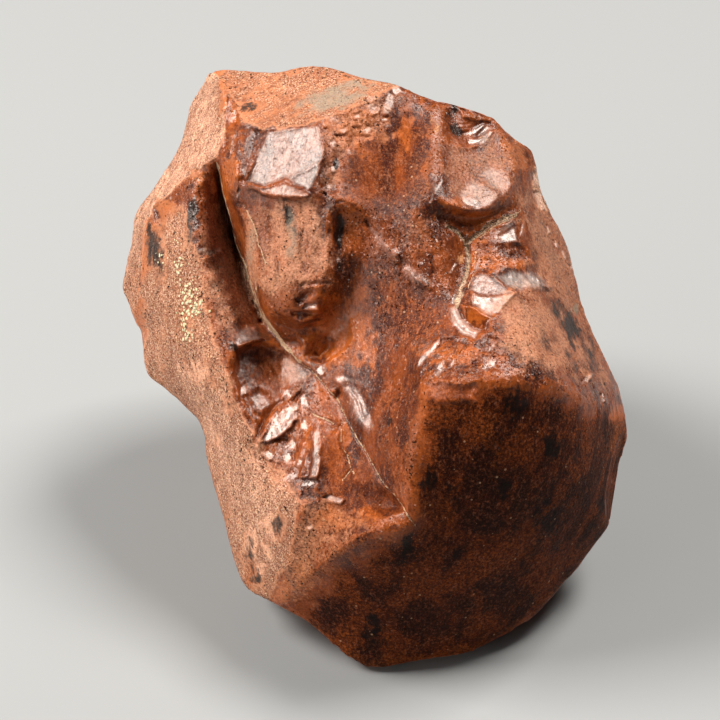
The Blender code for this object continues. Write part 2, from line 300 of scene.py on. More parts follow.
# Chipped ground: the chips' size (mm), how steep their hollows are, and the area on the sheet.
chippedGround = {
    "crownBand": dict(size=1.7, steep=0.28, **plates, rim=[
        (322, 122), (345, 111), (370, 101), (384, 92), (402, 86), (410, 96), (394, 104), (386, 120), (378, 134),
        (364, 141), (350, 150), (342, 164), (336, 186), (336, 204), (322, 214), (314, 200), (320, 180),
        (326, 150)]),
    "crownBandFine": dict(size=0.8, steep=0.26, rim=[
        (322, 122), (370, 101), (392, 90), (394, 104), (378, 134), (350, 150), (336, 186), (330, 204),
        (318, 204), (324, 160)]),
    "shardField": dict(size=2.0, steep=0.34, **plates, rim=[
        (254, 442), (268, 436), (284, 436), (299, 446), (306, 470), (318, 482), (314, 496), (296, 500),
        (280, 486), (262, 470)]),
    "shardGap": dict(size=1.8, steep=0.3, **plates, rim=[
        (262, 424), (284, 396), (296, 384), (312, 380), (320, 412), (312, 440), (292, 446), (270, 442)]),
    "scarRim": dict(size=0.8, steep=0.22, rim=[
        (214, 336), (226, 332), (232, 350), (229, 372), (236, 392), (246, 408), (258, 426), (262, 444),
        (254, 448), (244, 430), (232, 408), (222, 386), (218, 360)]),
    "browChips": dict(size=1.6, steep=0.3, **plates, rim=[
        (416, 372), (432, 350), (446, 336), (470, 338), (500, 336), (522, 346), (524, 364), (508, 374),
        (480, 378), (450, 382), (426, 386)]),
    "browFine": dict(size=0.85, steep=0.24, rim=[
        (420, 372), (436, 352), (462, 350), (520, 350), (560, 352), (605, 372), (612, 398), (580, 396),
        (548, 388), (526, 382), (505, 374), (450, 382)]),
    "browRight": dict(size=1.5, steep=0.28, **plates, rim=[
        (560, 368), (585, 364), (608, 384), (614, 402), (598, 410), (578, 398), (564, 386)]),
    "crownLeft": dict(size=1.3, steep=0.4, rim=[
        (212, 72), (240, 68), (264, 78), (246, 96), (240, 126), (220, 130), (219, 96)]),
    "rimTop": dict(size=1.3, steep=0.32, rim=[
        (262, 62), (330, 58), (400, 76), (412, 92), (388, 90), (350, 80), (300, 76)]),
    "rimRight": dict(size=1.3, steep=0.28, **plates, rim=[
        (408, 84), (450, 96), (486, 110), (497, 122), (478, 118), (462, 116), (440, 110), (412, 104)]),
    "crustBed": dict(size=0.8, steep=0.35, rim=[
        (442, 222), (470, 232), (500, 212), (520, 205), (520, 218), (492, 234), (478, 246), (474, 268),
        (466, 296), (452, 310), (446, 300), (455, 270), (458, 245)]),
    "underCrust": dict(size=1.6, steep=0.28, **plates, rim=[
        (478, 246), (500, 241), (520, 244), (530, 256), (505, 260), (497, 270), (486, 272), (476, 262)]),
    "crustLeft": dict(size=1.3, steep=0.2, rim=[
        (430, 205), (462, 212), (450, 232), (456, 262), (448, 300), (430, 290), (424, 240)]),
    "seamRight": dict(size=1.2, steep=0.2, rim=[
        (376, 385), (392, 376), (414, 400), (420, 440), (410, 505), (394, 490), (380, 455), (370, 420)]),
    "keel": dict(size=1.2, steep=0.14, rim=[
        (283, 600), (290, 560), (302, 500), (318, 492), (340, 512), (388, 520), (414, 518), (410, 530),
        (385, 536), (352, 552), (325, 574), (306, 596), (292, 614)]),
    "shoulderRim": dict(size=1.1, steep=0.26, rim=[
        (536, 150), (550, 190), (566, 236), (584, 290), (572, 292), (556, 250), (545, 214), (540, 190)]),
    "hollowRight": dict(size=1.3, steep=0.14, rim=[
        (372, 262), (400, 262), (430, 285), (446, 330), (418, 356), (390, 350), (372, 322)]),
    "cheekRidge": dict(size=1.4, steep=0.4, rim=[
        (140, 222), (152, 205), (186, 182), (216, 155), (222, 160), (206, 176), (180, 196), (158, 216),
        (150, 232)]),
    "leftEdge": dict(size=1.6, steep=0.42, rim=[
        (118, 300), (128, 262), (140, 252), (144, 270), (142, 312), (146, 345), (134, 340)]),
    "apronEdge": dict(size=1.5, steep=0.35, rim=[
        (240, 560), (262, 590), (290, 606), (286, 618), (252, 606), (232, 580)]),
    "grooveWall": dict(size=2.2, steep=0.42, rim=[
        (192, 200), (212, 162), (222, 200), (236, 250), (252, 310), (222, 332), (206, 290), (196, 240)]),
    "hollowUpper": dict(size=1.4, steep=0.2, rim=[
        (346, 200), (372, 206), (420, 240), (436, 290), (410, 300), (370, 262), (345, 290), (334, 270),
        (338, 220)]),
    "pillarSpeckle": dict(size=1.0, steep=0.32, rim=[
        (221, 128), (238, 127), (240, 150), (236, 196), (224, 200), (220, 165)]),
}


chippedEdge = (-0.6, 1.2)  # mm inside the rim where the chips begin and where they are whole
middleHeight = 0.3  # of the scallops: taken off, they neither raise nor lower the ground


def carveChips(carving, rim, size, steep, seed, tilt=0.9, bowl=1.0):
    picked = carving.near(rim, reach=1.5)
    ragged = 0.8 * noiseAt(carving.places[picked], sizeMm=2.5, seed=seed)
    fade = smoothStep(*chippedEdge, insideRim(carving.drawn[picked], rim) + ragged)
    hollows = scallopsAt(carving.places[picked], size, seed, tilt, bowl) - middleHeight
    carving.move(picked, steep * size * fade * hollows)


def glintAt(place, light):
    # the slope, in mm out per mm right and per mm up, of a face that throws this light straight at the viewer
    away = np.array(Vector(studio[light + "From"]).normalized())
    toLight = away * studio[light + "M"] * 1000 - place
    toEye = station - place
    half = toLight / np.linalg.norm(toLight) + toEye / np.linalg.norm(toEye)
    return -half[:2] / half[2]


# Flat or gently dished facets: either a slope or how far the facet turns to the nearest glint (shine, 0 to 1),
# how far the whole facet stands out (mm), how much its middle is dished (mm), how soft its edge is (mm), how
# glossy the fresh break is, how hazy with crushed glass, a pale coat that also paints in the facet's highlight,
# and the rim on the sheet.
facets = {
    "window": dict(shine=0.84, lift=0.1, dish=0.08, soft=0.6, gloss=0.3, haze=0.3, rim=[
        (268, 131), (290, 128), (318, 124), (324, 150), (320, 168), (310, 189), (294, 184), (287, 178),
        (278, 182), (266, 187), (247, 182), (256, 162), (263, 146)]),
    "sillFace": dict(shine=0.9, lift=0.3, dish=-0.1, soft=0.3, gloss=0.6, haze=0.25, rim=[
        (248, 185), (262, 190), (275, 188), (286, 183), (296, 188), (308, 193), (309, 197), (285, 196),
        (264, 193)]),
    "pillarTop": dict(shine=0.6, lift=0.15, dish=-0.2, soft=0.7, gloss=0.3, rim=[
        (224, 131), (237, 129), (236, 148), (232, 158), (222, 156), (221, 144)]),
    "crownNub": dict(shine=0.6, lift=0.1, dish=-0.15, soft=0.6, gloss=0.4, rim=[
        (223, 100), (230, 97), (236, 110), (238, 122), (230, 128), (222, 124)]),
    "crownBall": dict(shine=0.6, lift=0.2, dish=-0.3, soft=0.6, gloss=0.6, haze=0.1, rim=[
        (322, 118), (328, 113), (338, 114), (339, 124), (330, 131), (323, 127)]),
    "crownEye": dict(shine=0.9, lift=0.1, dish=0.35, soft=0.4, gloss=0.7, haze=0.15, rim=[
        (367, 106), (374, 102), (381, 105), (378, 114), (371, 117)]),
    "scarBrow": dict(shine=0.9, lift=0.2, dish=-0.2, soft=0.8, gloss=0.6, haze=0.22, rim=[
        (236, 334), (246, 325), (256, 327), (262, 339), (250, 341), (239, 346), (232, 344)]),
    "crescentFloor": dict(shine=0.5, lift=-0.2, dish=0.3, soft=1.8, gloss=0.3, haze=0.1, rim=[
        (236, 352), (262, 342), (285, 356), (300, 368), (284, 392), (262, 412), (246, 396), (236, 376)]),
    "scarSlope": dict(shine=0.95, soft=2.2, gloss=0.5, haze=0.22, rim=[
        (283, 352), (300, 362), (312, 372), (306, 382), (290, 386), (280, 375)]),
    "scarShine": dict(shine=1.0, dish=0.1, soft=1.6, gloss=0.6, haze=0.2, rim=[
        (250, 396), (258, 390), (268, 396), (272, 405), (262, 415), (254, 411)]),
    "shardLong": dict(shine=1.0, lift=0.3, dish=0.05, soft=0.35, gloss=0.8, haze=0.2, rim=[
        (262, 440), (268, 427), (277, 415), (287, 406), (295, 401), (300, 405), (296, 417), (290, 428),
        (281, 436), (268, 442)]),
    "bladeBack": dict(shine=0.3, lift=0.15, soft=0.4, gloss=0.3, rim=[
        (299, 478), (301, 455), (305, 438), (311, 426), (314, 436), (312, 458), (310, 479)]),
    "blade": dict(shine=1.0, lift=0.2, soft=0.35, gloss=0.75, haze=0.15, rim=[
        (309, 479), (312, 455), (314, 436), (318, 426), (322, 430), (321, 450), (319, 468), (317, 479)]),
    "seamHole": dict(slope=(-0.5, 0.4), lift=-0.4, soft=0.4, rim=[
        (331, 390), (341, 387), (341, 394), (335, 399)]),
    "pinkTop": dict(shine=0.95, lift=0.1, soft=0.8, gloss=0.7, haze=0.2, rim=[
        (334, 379), (345, 374), (357, 380), (352, 387), (341, 385)]),
    "pinkSlope": dict(shine=0.95, lift=0.2, dish=-0.15, soft=2.0, gloss=0.6, haze=0.22, rim=[
        (343, 386), (350, 382), (359, 390), (368, 405), (374, 425), (368, 434), (356, 420), (347, 403)]),
    "hollowDeep": dict(slope=(-0.40, 0.45), lift=-0.3, dish=0.3, soft=1.6, rim=[
        (300, 334), (316, 327), (330, 332), (333, 348), (320, 360), (306, 356)]),
    "noseUnder": dict(slope=(-0.05, 0.35), lift=-0.2, soft=1.6, rim=[
        (274, 324), (296, 328), (318, 324), (328, 332), (306, 340), (286, 338)]),
    "wedgeFace": dict(slope=(0.18, -0.24), dish=0.3, soft=2.4, rim=[
        (325, 434), (339, 432), (345, 455), (357, 476), (386, 492), (402, 508), (385, 514), (342, 508),
        (322, 490), (320, 468)]),
    "noseDome": dict(slope=(0.15, -0.1), soft=0.6, gloss=0.2, rim=[
        (292, 313), (304, 311), (316, 313), (313, 321), (300, 323), (292, 319)]),
    "dishLow": dict(shine=0.8, lift=-0.1, dish=0.15, soft=2.0, gloss=0.6, haze=0.22, rim=[
        (457, 195), (466, 186), (473, 183), (486, 187), (499, 195), (492, 205), (480, 211), (463, 205)]),
    "dishUpper": dict(shine=0.85, lift=-0.1, dish=0.1, soft=2.0, gloss=0.55, haze=0.22, rim=[
        (478, 175), (486, 167), (498, 168), (509, 177), (512, 186), (502, 193), (488, 186)]),
    "crustFacet": dict(shine=0.7, dish=0.1, soft=0.7, gloss=0.8, haze=0.2, rim=[
        (494, 237), (505, 230), (514, 225), (519, 243), (507, 242)]),
    "crustPink": dict(shine=0.6, soft=0.7, gloss=0.7, haze=0.2, rim=[
        (497, 233), (502, 224), (513, 219), (513, 226), (504, 232)]),
    "crescentGlass": dict(shine=0.45, lift=0.1, dish=0.05, soft=1.8, gloss=0.7, haze=0.36, rim=[
        (496, 275), (510, 271), (530, 272), (542, 279), (551, 287), (535, 288), (520, 290), (506, 286)]),
    "triangleUpper": dict(shine=0.5, dish=0.1, soft=1.0, gloss=0.5, haze=0.28, rim=[
        (470, 290), (472, 278), (482, 272), (496, 277), (505, 288), (513, 292), (495, 297), (480, 296)]),
    "whiteTriangle": dict(shine=0.85, lift=0.1, dish=0.05, soft=0.45, gloss=0.8, haze=0.2, rim=[
        (470, 291), (480, 296), (496, 297), (517, 292), (509, 303), (500, 312), (491, 317), (480, 311),
        (472, 304)]),
    "amberPit": dict(slope=(0.05, -0.05), lift=-0.05, dish=0.1, soft=0.7, gloss=0.4, rim=[
        (461, 305), (470, 304), (480, 311), (490, 318), (488, 330), (476, 332), (466, 322)]),
    "whiteCrescent": dict(shine=1.0, lift=0.1, dish=-0.1, soft=0.5, gloss=0.8, haze=0.28, rim=[
        (449, 308), (456, 305), (462, 316), (470, 326), (480, 331), (475, 338), (462, 334), (453, 322)]),
    "shoulderUpper": dict(shine=0.4, dish=0.1, soft=0.7, gloss=0.5, haze=0.3, rim=[
        (532, 174), (540, 166), (546, 178), (548, 187), (538, 188), (532, 184)]),
    "shoulderLower": dict(shine=0.4, dish=0.1, soft=0.6, gloss=0.5, haze=0.3, rim=[
        (532, 192), (540, 191), (547, 193), (548, 203), (544, 212), (537, 208)]),
    "browLip": dict(slope=(0.1, -0.1), lift=0.2, dish=-0.2, soft=1.0, gloss=0.2, rim=[
        (432, 396), (450, 393), (472, 392), (476, 400), (455, 405), (436, 404)]),
    "hollowRidge": dict(shine=0.6, lift=0.1, dish=-0.2, soft=2.0, gloss=0.3, haze=0.2, rim=[
        (367, 222), (376, 230), (386, 241), (398, 254), (402, 263), (390, 256), (376, 243)]),
    "hollowRidgeLow": dict(shine=0.6, lift=0.1, dish=-0.2, soft=1.8, gloss=0.3, haze=0.2, rim=[
        (398, 258), (410, 265), (424, 278), (430, 288), (416, 283), (402, 271)]),
}

# Small fresh chips that catch the light, each a flat facet of its own.
brightChips = {
    "crownStripe": [(384, 96), (392, 91), (393, 103), (388, 114), (382, 113)],
    "crownTop": [(391, 86), (400, 85), (402, 92), (396, 96), (391, 93)],
    "crownSpot": [(380, 119), (387, 117), (388, 121), (382, 123)],
    "crownLow": [(361, 132), (368, 126), (374, 128), (368, 137)],
    "bandSpot": [(346, 150), (351, 149), (352, 154), (348, 155)],
    "scarGlint": [(241, 387), (246, 383), (248, 393), (242, 397)],
    "shardOne": [(282, 389), (289, 388), (293, 397), (284, 402)],
    "shardTwo": [(299, 397), (304, 393), (309, 402), (306, 409), (300, 404)],
    "shardSlim": [(294, 420), (295, 411), (299, 410), (298, 420)],
    "shardRight": [(299, 430), (304, 417), (309, 417), (306, 432)],
    "shardRound": [(286, 448), (292, 438), (297, 442), (293, 449)],
    "shardLowA": [(280, 455), (286, 450), (292, 456), (290, 464), (283, 462)],
    "shardLowB": [(295, 466), (298, 458), (304, 459), (302, 467)],
    "shardLowC": [(262, 453), (270, 449), (276, 456), (268, 462)],
    "shardLowD": [(281, 478), (290, 472), (297, 474), (294, 480), (284, 482)],
    "bladeEdge": [(312, 475), (314, 458), (318, 452), (318, 470), (316, 478)],
    "bladeFoot": [(300, 488), (303, 482), (316, 481), (314, 486)],
    "seamChip": [(315, 368), (320, 365), (324, 373), (320, 376)],
    "wedgeSpot": [(321, 497), (330, 494), (345, 498), (341, 504), (334, 503)],
    "keelGlint": [(308, 528), (312, 523), (315, 527), (311, 531)],
    "noseLight": [(301, 309), (306, 304), (315, 304), (318, 311), (310, 310)],
    "pillarHook": [(232, 194), (236, 195), (240, 187), (242, 191), (238, 198)],
    "ridgeNick": [(168, 198), (172, 196), (174, 199), (170, 200)],
    "dishRib": [(434, 190), (442, 178), (444, 182), (438, 191)],
    "dishRibLow": [(429, 204), (432, 192), (436, 193), (433, 203)],
    "shellLip": [(476, 134), (486, 125), (494, 128), (490, 134), (480, 139)],
    "crustSliver": [(521, 224), (525, 221), (523, 234), (519, 240)],
    "leftSliver": [(448, 274), (454, 262), (457, 264), (451, 275)],
    "leftSliverLow": [(450, 305), (455, 293), (459, 295), (454, 306)],
    "browFlash": [(417, 368), (419, 359), (428, 349), (440, 336), (440, 345), (430, 354), (421, 366)],
    "browChipA": [(435, 376), (437, 362), (443, 358), (444, 367), (439, 377)],
    "browChipB": [(448, 369), (451, 360), (456, 357), (454, 366)],
    "browChipC": [(482, 368), (490, 361), (499, 358), (495, 366), (486, 371)],
    "browChipD": [(486, 351), (492, 343), (495, 345), (489, 353)],
    "browChipE": [(580, 383), (586, 376), (593, 373), (591, 381), (583, 386)],
    "browChipF": [(599, 393), (603, 391), (605, 402), (600, 403)],
    "archChip": [(326, 204), (331, 201), (335, 205), (330, 207)],
    "wallGlintHigh": [(199, 250), (205, 247), (207, 252), (200, 255)],
    "wallGlintLow": [(213, 248), (221, 246), (222, 252), (214, 254)],
    "shellArc": [(466, 141), (478, 138), (490, 131), (494, 133), (482, 143), (468, 146)],
    "shellArcInner": [(460, 133), (472, 131), (484, 124), (486, 127), (474, 135), (462, 137)],
    "dishGlint": [(462, 200), (470, 196), (480, 202), (474, 207), (465, 205)],
    "crownChipA": [(328, 143), (334, 139), (337, 144), (331, 148)],
    "crownChipB": [(340, 130), (347, 126), (349, 131), (343, 135)],
    "crownChipC": [(352, 116), (359, 113), (361, 118), (355, 121)],
    "crownChipD": [(366, 97), (374, 94), (376, 99), (369, 102)],
    "crownChipE": [(330, 168), (335, 165), (336, 171), (331, 174)],
    "crownChipF": [(325, 186), (331, 183), (332, 189), (327, 191)],
    "edgeGlintA": [(538, 204), (542, 203), (544, 211), (540, 213)],
    "edgeGlintB": [(546, 226), (549, 225), (552, 233), (548, 234)],
    "edgeGlintC": [(552, 240), (555, 239), (559, 247), (556, 249)],
    "edgeGlintD": [(560, 250), (563, 249), (566, 258), (563, 260)],
    "rimGlint": [(568, 265), (572, 264), (574, 270), (570, 270)],
}
# the chips' haze is partly a painted highlight
chipStyle = {"shine": 0.95, "lift": 0.06, "soft": 0.28, "gloss": 0.75, "haze": 0.18}


def carveFacet(carving, rim, soft, lift=0, dish=0, slope=None, shine=0.0, **finish):
    # lays one facet; its gloss and its haze, which also paints a highlight, are read later, by finishAt
    picked = carving.near(rim, reach=soft)
    xy = carving.drawn[picked]
    depth = insideRim(xy, rim)
    inside = smoothStep(-soft / 2, soft / 2, depth)
    core = depth > 0
    if core.sum() < 3:
        return
    middle = xy[core].mean(0)
    ground = np.column_stack([xy[core] - middle, np.ones(core.sum())])
    *own, level = np.linalg.lstsq(ground, carving.out[picked][core], rcond=None)[0]
    if slope is None:
        glints = np.array([glintAt(np.append(middle, level), light) for light in ("key", "back")])
        nearest = glints[np.linalg.norm(glints - own, axis=1).argmin()]
        slope = own + shine * (nearest - own)
    target = level + lift + (xy - middle) @ np.array(slope) - dish * smoothStep(0, depth.max(), depth)
    carving.move(picked, inside * (target - carving.out[picked]))


# Cracks and furrows: depth and half width (mm), and the line on the sheet. A depth below 0 is a raised thread.
furrows = {
    "grooveDeep": dict(depth=2.6, width=0.55, line=[
        (217, 163), (219, 178), (223, 196), (228, 218), (233, 238), (239, 256), (246, 275), (254, 296),
        (261, 318)]),
    "grooveWide": dict(depth=1.5, width=2.0, line=[(215, 172), (218, 195), (223, 220), (228, 243)]),
    "seam": dict(depth=0.5, width=0.2, line=[
        (261, 319), (270, 330), (280, 342), (292, 354), (302, 364), (313, 372), (325, 385), (334, 396),
        (341, 406), (347, 418), (353, 430), (360, 443), (368, 457), (376, 470), (384, 483), (392, 494),
        (400, 504), (408, 514), (416, 526)]),
    "branch": dict(depth=0.35, width=0.18, line=[
        (341, 406), (343, 415), (342, 430), (341, 446), (347, 455), (350, 467), (354, 474)]),
    "branchFork": dict(depth=0.3, width=0.16, line=[(351, 469), (347, 476), (344, 481)]),
    "branchShort": dict(depth=0.35, width=0.2, line=[(308, 410), (317, 416), (334, 424)]),
    "pillarFlank": dict(depth=0.9, width=1.3, line=[
        (258, 130), (255, 146), (251, 160), (246, 176), (242, 186)]),
    "pillarNotch": dict(depth=0.9, width=0.5, line=[(236, 203), (241, 206), (247, 205)]),
    "pillarStripe": dict(depth=0.35, width=0.4, line=[(232, 160), (233, 175), (231, 190)]),
    "noseHole": dict(depth=1.1, width=0.7, line=[(297, 303), (304, 298), (313, 291)]),
    "noseCrease": dict(depth=0.45, width=0.35, line=[(302, 287), (306, 283), (318, 283), (331, 283)]),
    "streak": dict(depth=0.6, width=1.1, line=[(341, 212), (339, 235), (337, 262)]),
    "crustDown": dict(depth=1.0, width=0.55, line=[
        (515, 215), (500, 221), (488, 227), (478, 234), (467, 243), (469, 256), (466, 272), (462, 288),
        (457, 307)]),
    "crustBranch": dict(depth=0.6, width=0.45, line=[(446, 227), (455, 230), (466, 240)]),
    "shoulderCrack": dict(depth=0.6, width=0.25, line=[(531, 189), (538, 188), (541, 190), (548, 187)]),
    "fineArcUpper": dict(depth=0.3, width=0.2, line=[(540, 276), (548, 283), (556, 290), (565, 299)]),
    "fineArcLower": dict(depth=0.2, width=0.2, line=[(540, 284), (548, 289), (556, 297)]),
    "scarGap": dict(depth=1.0, width=0.5, line=[(286, 398), (277, 406), (268, 417), (261, 428), (257, 441)]),
    "shardGapDark": dict(depth=1.2, width=0.4, line=[(292, 402), (297, 396), (302, 391)]),
    "dishUnder": dict(depth=0.15, width=1.4, line=[(436, 208), (456, 214), (478, 219), (496, 214), (509, 204)]),
    "blackHole": dict(depth=1.6, width=0.5, line=[(258, 320), (262, 323)]),
    "slabLeft": dict(depth=0.35, width=0.6, line=[(268, 203), (272, 225), (272, 250), (278, 285)]),
    "slabMiddle": dict(depth=0.25, width=0.7, line=[(288, 203), (290, 225), (288, 248), (292, 272)]),
    "slabEdge": dict(depth=0.4, width=0.5, line=[(303, 204), (305, 228), (301, 250), (304, 276)]),
    "slabFar": dict(depth=0.25, width=0.8, line=[(320, 212), (321, 234), (318, 262)]),
    "striaOne": dict(depth=-0.12, width=0.25, line=[(259, 362), (266, 376), (277, 390)]),
    "striaTwo": dict(depth=-0.12, width=0.25, line=[(267, 364), (273, 378), (278, 388)]),
    "striaThree": dict(depth=-0.12, width=0.25, line=[(275, 352), (278, 366), (281, 380)]),
    "pinkStria": dict(depth=0.2, width=0.3, line=[(350, 388), (358, 402), (366, 420)]),
    "crustNick": dict(depth=-0.35, width=0.25, line=[(484, 270), (494, 277), (503, 285), (514, 290)]),
}


def carveFurrow(carving, line, depth, width):
    picked = carving.near(line, reach=width * 4)
    d, _, along = nearLine(carving.drawn[picked], line)
    shown = fadedEnds(along, over=0.08, beyond=0.05)
    carving.move(picked, -depth * shown * np.exp(-((d / width) ** 2)))


# Sharp crests: height and half width (mm), and the line on the sheet.
crests = {
    "pillar": dict(height=1.1, width=1.8, line=[(229, 130), (232, 150), (235, 175), (238, 196)]),
    "sillEdge": dict(height=0.45, width=0.3, line=[
        (246, 182), (256, 188), (264, 193), (276, 196), (292, 197), (311, 197)]),
    "sillWave": dict(height=0.3, width=0.25, line=[
        (248, 181), (262, 188), (270, 187), (279, 181), (287, 178), (295, 185), (306, 190)]),
    "windowFold": dict(height=0.2, width=0.35, line=[(288, 180), (300, 174), (312, 168), (320, 161)]),
    "windowRight": dict(height=0.35, width=0.3, line=[(319, 124), (323, 140), (324, 158), (321, 166)]),
    "windowTop": dict(height=0.3, width=0.3, line=[(262, 130), (285, 130), (300, 127), (314, 122)]),
    "tongueEdge": dict(height=0.4, width=0.35, line=[(246, 208), (252, 222), (257, 240), (268, 266)]),
    "tongueLeft": dict(height=0.5, width=0.4, line=[(257, 274), (256, 290), (262, 306), (274, 322)]),
    "tongueInner": dict(height=0.3, width=0.35, line=[(302, 205), (303, 228), (300, 244), (293, 262)]),
    "hollowArch": dict(height=0.25, width=0.45, line=[
        (326, 204), (336, 200), (345, 197), (354, 201), (361, 208), (366, 218)]),
    "crustLip": dict(height=0.6, width=0.3, line=[(521, 211), (508, 222), (491, 229), (479, 237), (470, 242)]),
    "crustLipLow": dict(height=0.4, width=0.3, line=[(477, 249), (475, 264), (470, 276), (466, 290)]),
    "triangleRim": dict(height=0.3, width=0.25, line=[(472, 304), (480, 311), (491, 317)]),
    "pitLip": dict(height=0.3, width=0.25, line=[(460, 304), (468, 303), (480, 311)]),
    "scarTop": dict(height=0.35, width=0.4, line=[(231, 364), (236, 352), (243, 346), (252, 341), (264, 338)]),
    "dishRim": dict(height=0.3, width=0.35, line=[(452, 148), (464, 149), (478, 144), (494, 133)]),
    "dishFold": dict(height=0.25, width=0.4, line=[(476, 181), (488, 188), (500, 194), (510, 190)]),
    "dishLipLine": dict(height=0.35, width=0.4, line=[
        (484, 213), (496, 210), (508, 197), (515, 180), (516, 160)]),
    "faceRidge": dict(height=0.3, width=0.8, line=[(388, 138), (394, 152), (400, 165)]),
    "foldRidge": dict(height=0.5, width=0.7, line=ledges["foldStep"]["line"]),
    "bladeRidge": dict(height=0.4, width=0.3, line=[(322, 427), (322, 446), (319, 466), (316, 480)]),
    "crownEdge": dict(height=0.25, width=0.6, line=[(222, 80), (223, 100), (228, 125)]),
    "apronCrest": dict(height=0.3, width=0.5, line=[(302, 503), (295, 528), (290, 550), (281, 578)]),
    "keelCrest": dict(height=0.25, width=0.5, line=[
        (296, 592), (306, 576), (322, 562), (340, 548), (362, 536), (390, 526)]),
}


def carveCrest(carving, line, height, width):
    picked = carving.near(line, reach=width * 5)
    d, _, along = nearLine(carving.drawn[picked], line)
    shown = fadedEnds(along, over=0.15, beyond=0.02)
    uneven = 1 + 0.5 * noiseAt(carving.places[picked], sizeMm=1.6, seed=71)
    carving.move(picked, height * uneven * shown * np.exp(-d / width))


def carveFront(carving):
    for form in scars.values():
        carveScar(carving, **form)
    for form in ledges.values():
        carveLedge(carving, **form)
    for seed, form in enumerate(chippedGround.values(), 100):
        carveChips(carving, seed=seed, **form)
    for form in facets.values():
        carveFacet(carving, **form)
    for rim in brightChips.values():
        carveFacet(carving, rim, **chipStyle)
    for form in furrows.values():
        carveFurrow(carving, **form)
    for form in crests.values():
        carveCrest(carving, **form)


# Flakes struck off the hidden sides: where they sit (compass degrees round the stone from the front, height in
# mm), the radius of the break and its depth (mm).
hiddenFlakes = [
    (95, 48, 34, 3.2), (118, 66, 26, 2.4), (70, 24, 30, 2.2), (140, 34, 38, 3.4), (170, 60, 30, 2.8),
    (200, 28, 36, 3.2), (222, 52, 28, 2.6), (182, 80, 22, 2.0), (160, 14, 24, 1.8), (110, 14, 26, 1.6),
    (232, 74, 18, 1.6), (205, 12, 22, 1.5),
]
flakeRippleMm = 0.05
lookInM = 0.2  # how far out the looks at the hidden sides start, well clear of the stone


def cutFlake(points, at, outward, radius, depth):
    # a shell-shaped break: what lies within a ball that dips into the stone is pushed out to the ball's surface
    centre = at + outward * (radius - depth)
    rimRadius = (2 * radius * depth) ** 0.5
    offset = points - centre
    distance = np.linalg.norm(offset, axis=1)
    hit = (distance < radius) & (np.linalg.norm(points - at, axis=1) < rimRadius * 1.8)
    pushed = centre + offset[hit] * (radius / distance[hit])[:, None]
    # the blow fell somewhere on the rim, and five ripples run from there to the flake's middle
    strike = at + np.cross(outward, (0.3, 0.5, 0.81)) * rimRadius
    beat = np.linalg.norm(pushed - strike, axis=1) / (rimRadius * 0.2)
    beat = beat + 0.5 * noiseAt(pushed, sizeMm=7, seed=63)
    fade = smoothStep(0, depth * 0.5, radius - distance[hit])
    points[hit] = pushed + outward * (flakeRippleMm * np.cos(2 * pi * beat) * fade)[:, None]


def carveHiddenSides(points, tree):
    # broad scars where the drawing can't reach, found by looking in from outside
    for compass, heightMm, radius, depth in hiddenFlakes:
        a = radians(compass)
        away = Vector((sin(a), -cos(a), 0))
        hit, normal, _, _ = tree.ray_cast(away * lookInM + Vector((0, 0, heightMm / 1000)), -away)
        if hit:
            cutFlake(points, np.array(hit) * 1000, np.array(normal), radius, depth)


def readPoints(mesh):
    flat = np.empty(len(mesh.vertices) * 3, np.float32)
    mesh.vertices.foreach_get("co", flat)
    return flat.reshape(-1, 3).astype(float)


def readNormals(mesh):
    flat = np.empty(len(mesh.vertices) * 3, np.float32)
    mesh.vertices.foreach_get("normal", flat)
    return flat.reshape(-1, 3).astype(float)


def readEdges(mesh):
    flat = np.empty(len(mesh.edges) * 2, np.int32)
    mesh.edges.foreach_get("vertices", flat)
    return flat.reshape(-1, 2)


def writePoints(mesh, points):
    mesh.vertices.foreach_set("co", points.astype(np.float32).ravel())
    mesh.update()


def neighbourMean(values, edges):
    # each vertex's neighbours, averaged
    count = np.bincount(edges.ravel(), minlength=len(values))
    columns = values.reshape(len(values), -1)
    sums = np.stack([
        np.bincount(edges[:, 0], columns[edges[:, 1], k], len(values))
        + np.bincount(edges[:, 1], columns[edges[:, 0], k], len(values))
        for k in range(columns.shape[1])
    ], 1)
    return (sums / np.maximum(count, 1)[:, None]).reshape(values.shape)


def smoothed(values, edges, rounds, pull=0.5):
    for _ in range(rounds):
        values = values + pull * (neighbourMean(values, edges) - values)
    return values


def bendAt(points, normals, edges, rounds):
    # how far each place stands out from its neighbourhood (mm): positive on edges, negative in hollows
    return smoothed(((points - smoothed(points, edges, rounds)) * normals).sum(1), edges, rounds=2)


def wearEdges(points, normals, edges):
    # chips along the sharp outer edges
    edge = smoothStep(0.02, 0.10, bendAt(points, normals, edges, rounds=12))
    for seed, (size, depth) in enumerate(stoneShape["edgeChips"], 50):
        hollow = np.clip(0.5 - scallopsAt(points, size, seed), 0, 0.5) * 2
        points = points - normals * (edge * depth * hollow)[:, None]
    return points


def bakeModifier(obj):
    # replaces the object's mesh by what its modifiers make of it
    bpy.context.view_layer.update()
    graph = bpy.context.evaluated_depsgraph_get()
    made = bpy.data.meshes.new_from_object(obj.evaluated_get(graph))
    obj.modifiers.clear()
    obj.data = made


def roughOut(node, name):
    # an even, dense copy of the solid to carve in
    bm = bmesh.new()
    bm.from_mesh(node.data)
    bmesh.ops.remove_doubles(bm, verts=bm.verts, dist=1e-6)
    tree = BVHTree.FromBMesh(bm)
    mesh = bpy.data.meshes.new(name)
    bm.to_mesh(mesh)
    bm.free()
    stone = bpy.data.objects.new(name, mesh)
    bpy.context.scene.collection.objects.link(stone)
    remesh = stone.modifiers.new("even mesh", "REMESH")
    remesh.mode = "VOXEL"
    remesh.voxel_size = stoneShape["voxelMm"] / 1000
    bakeModifier(stone)
    return stone, tree


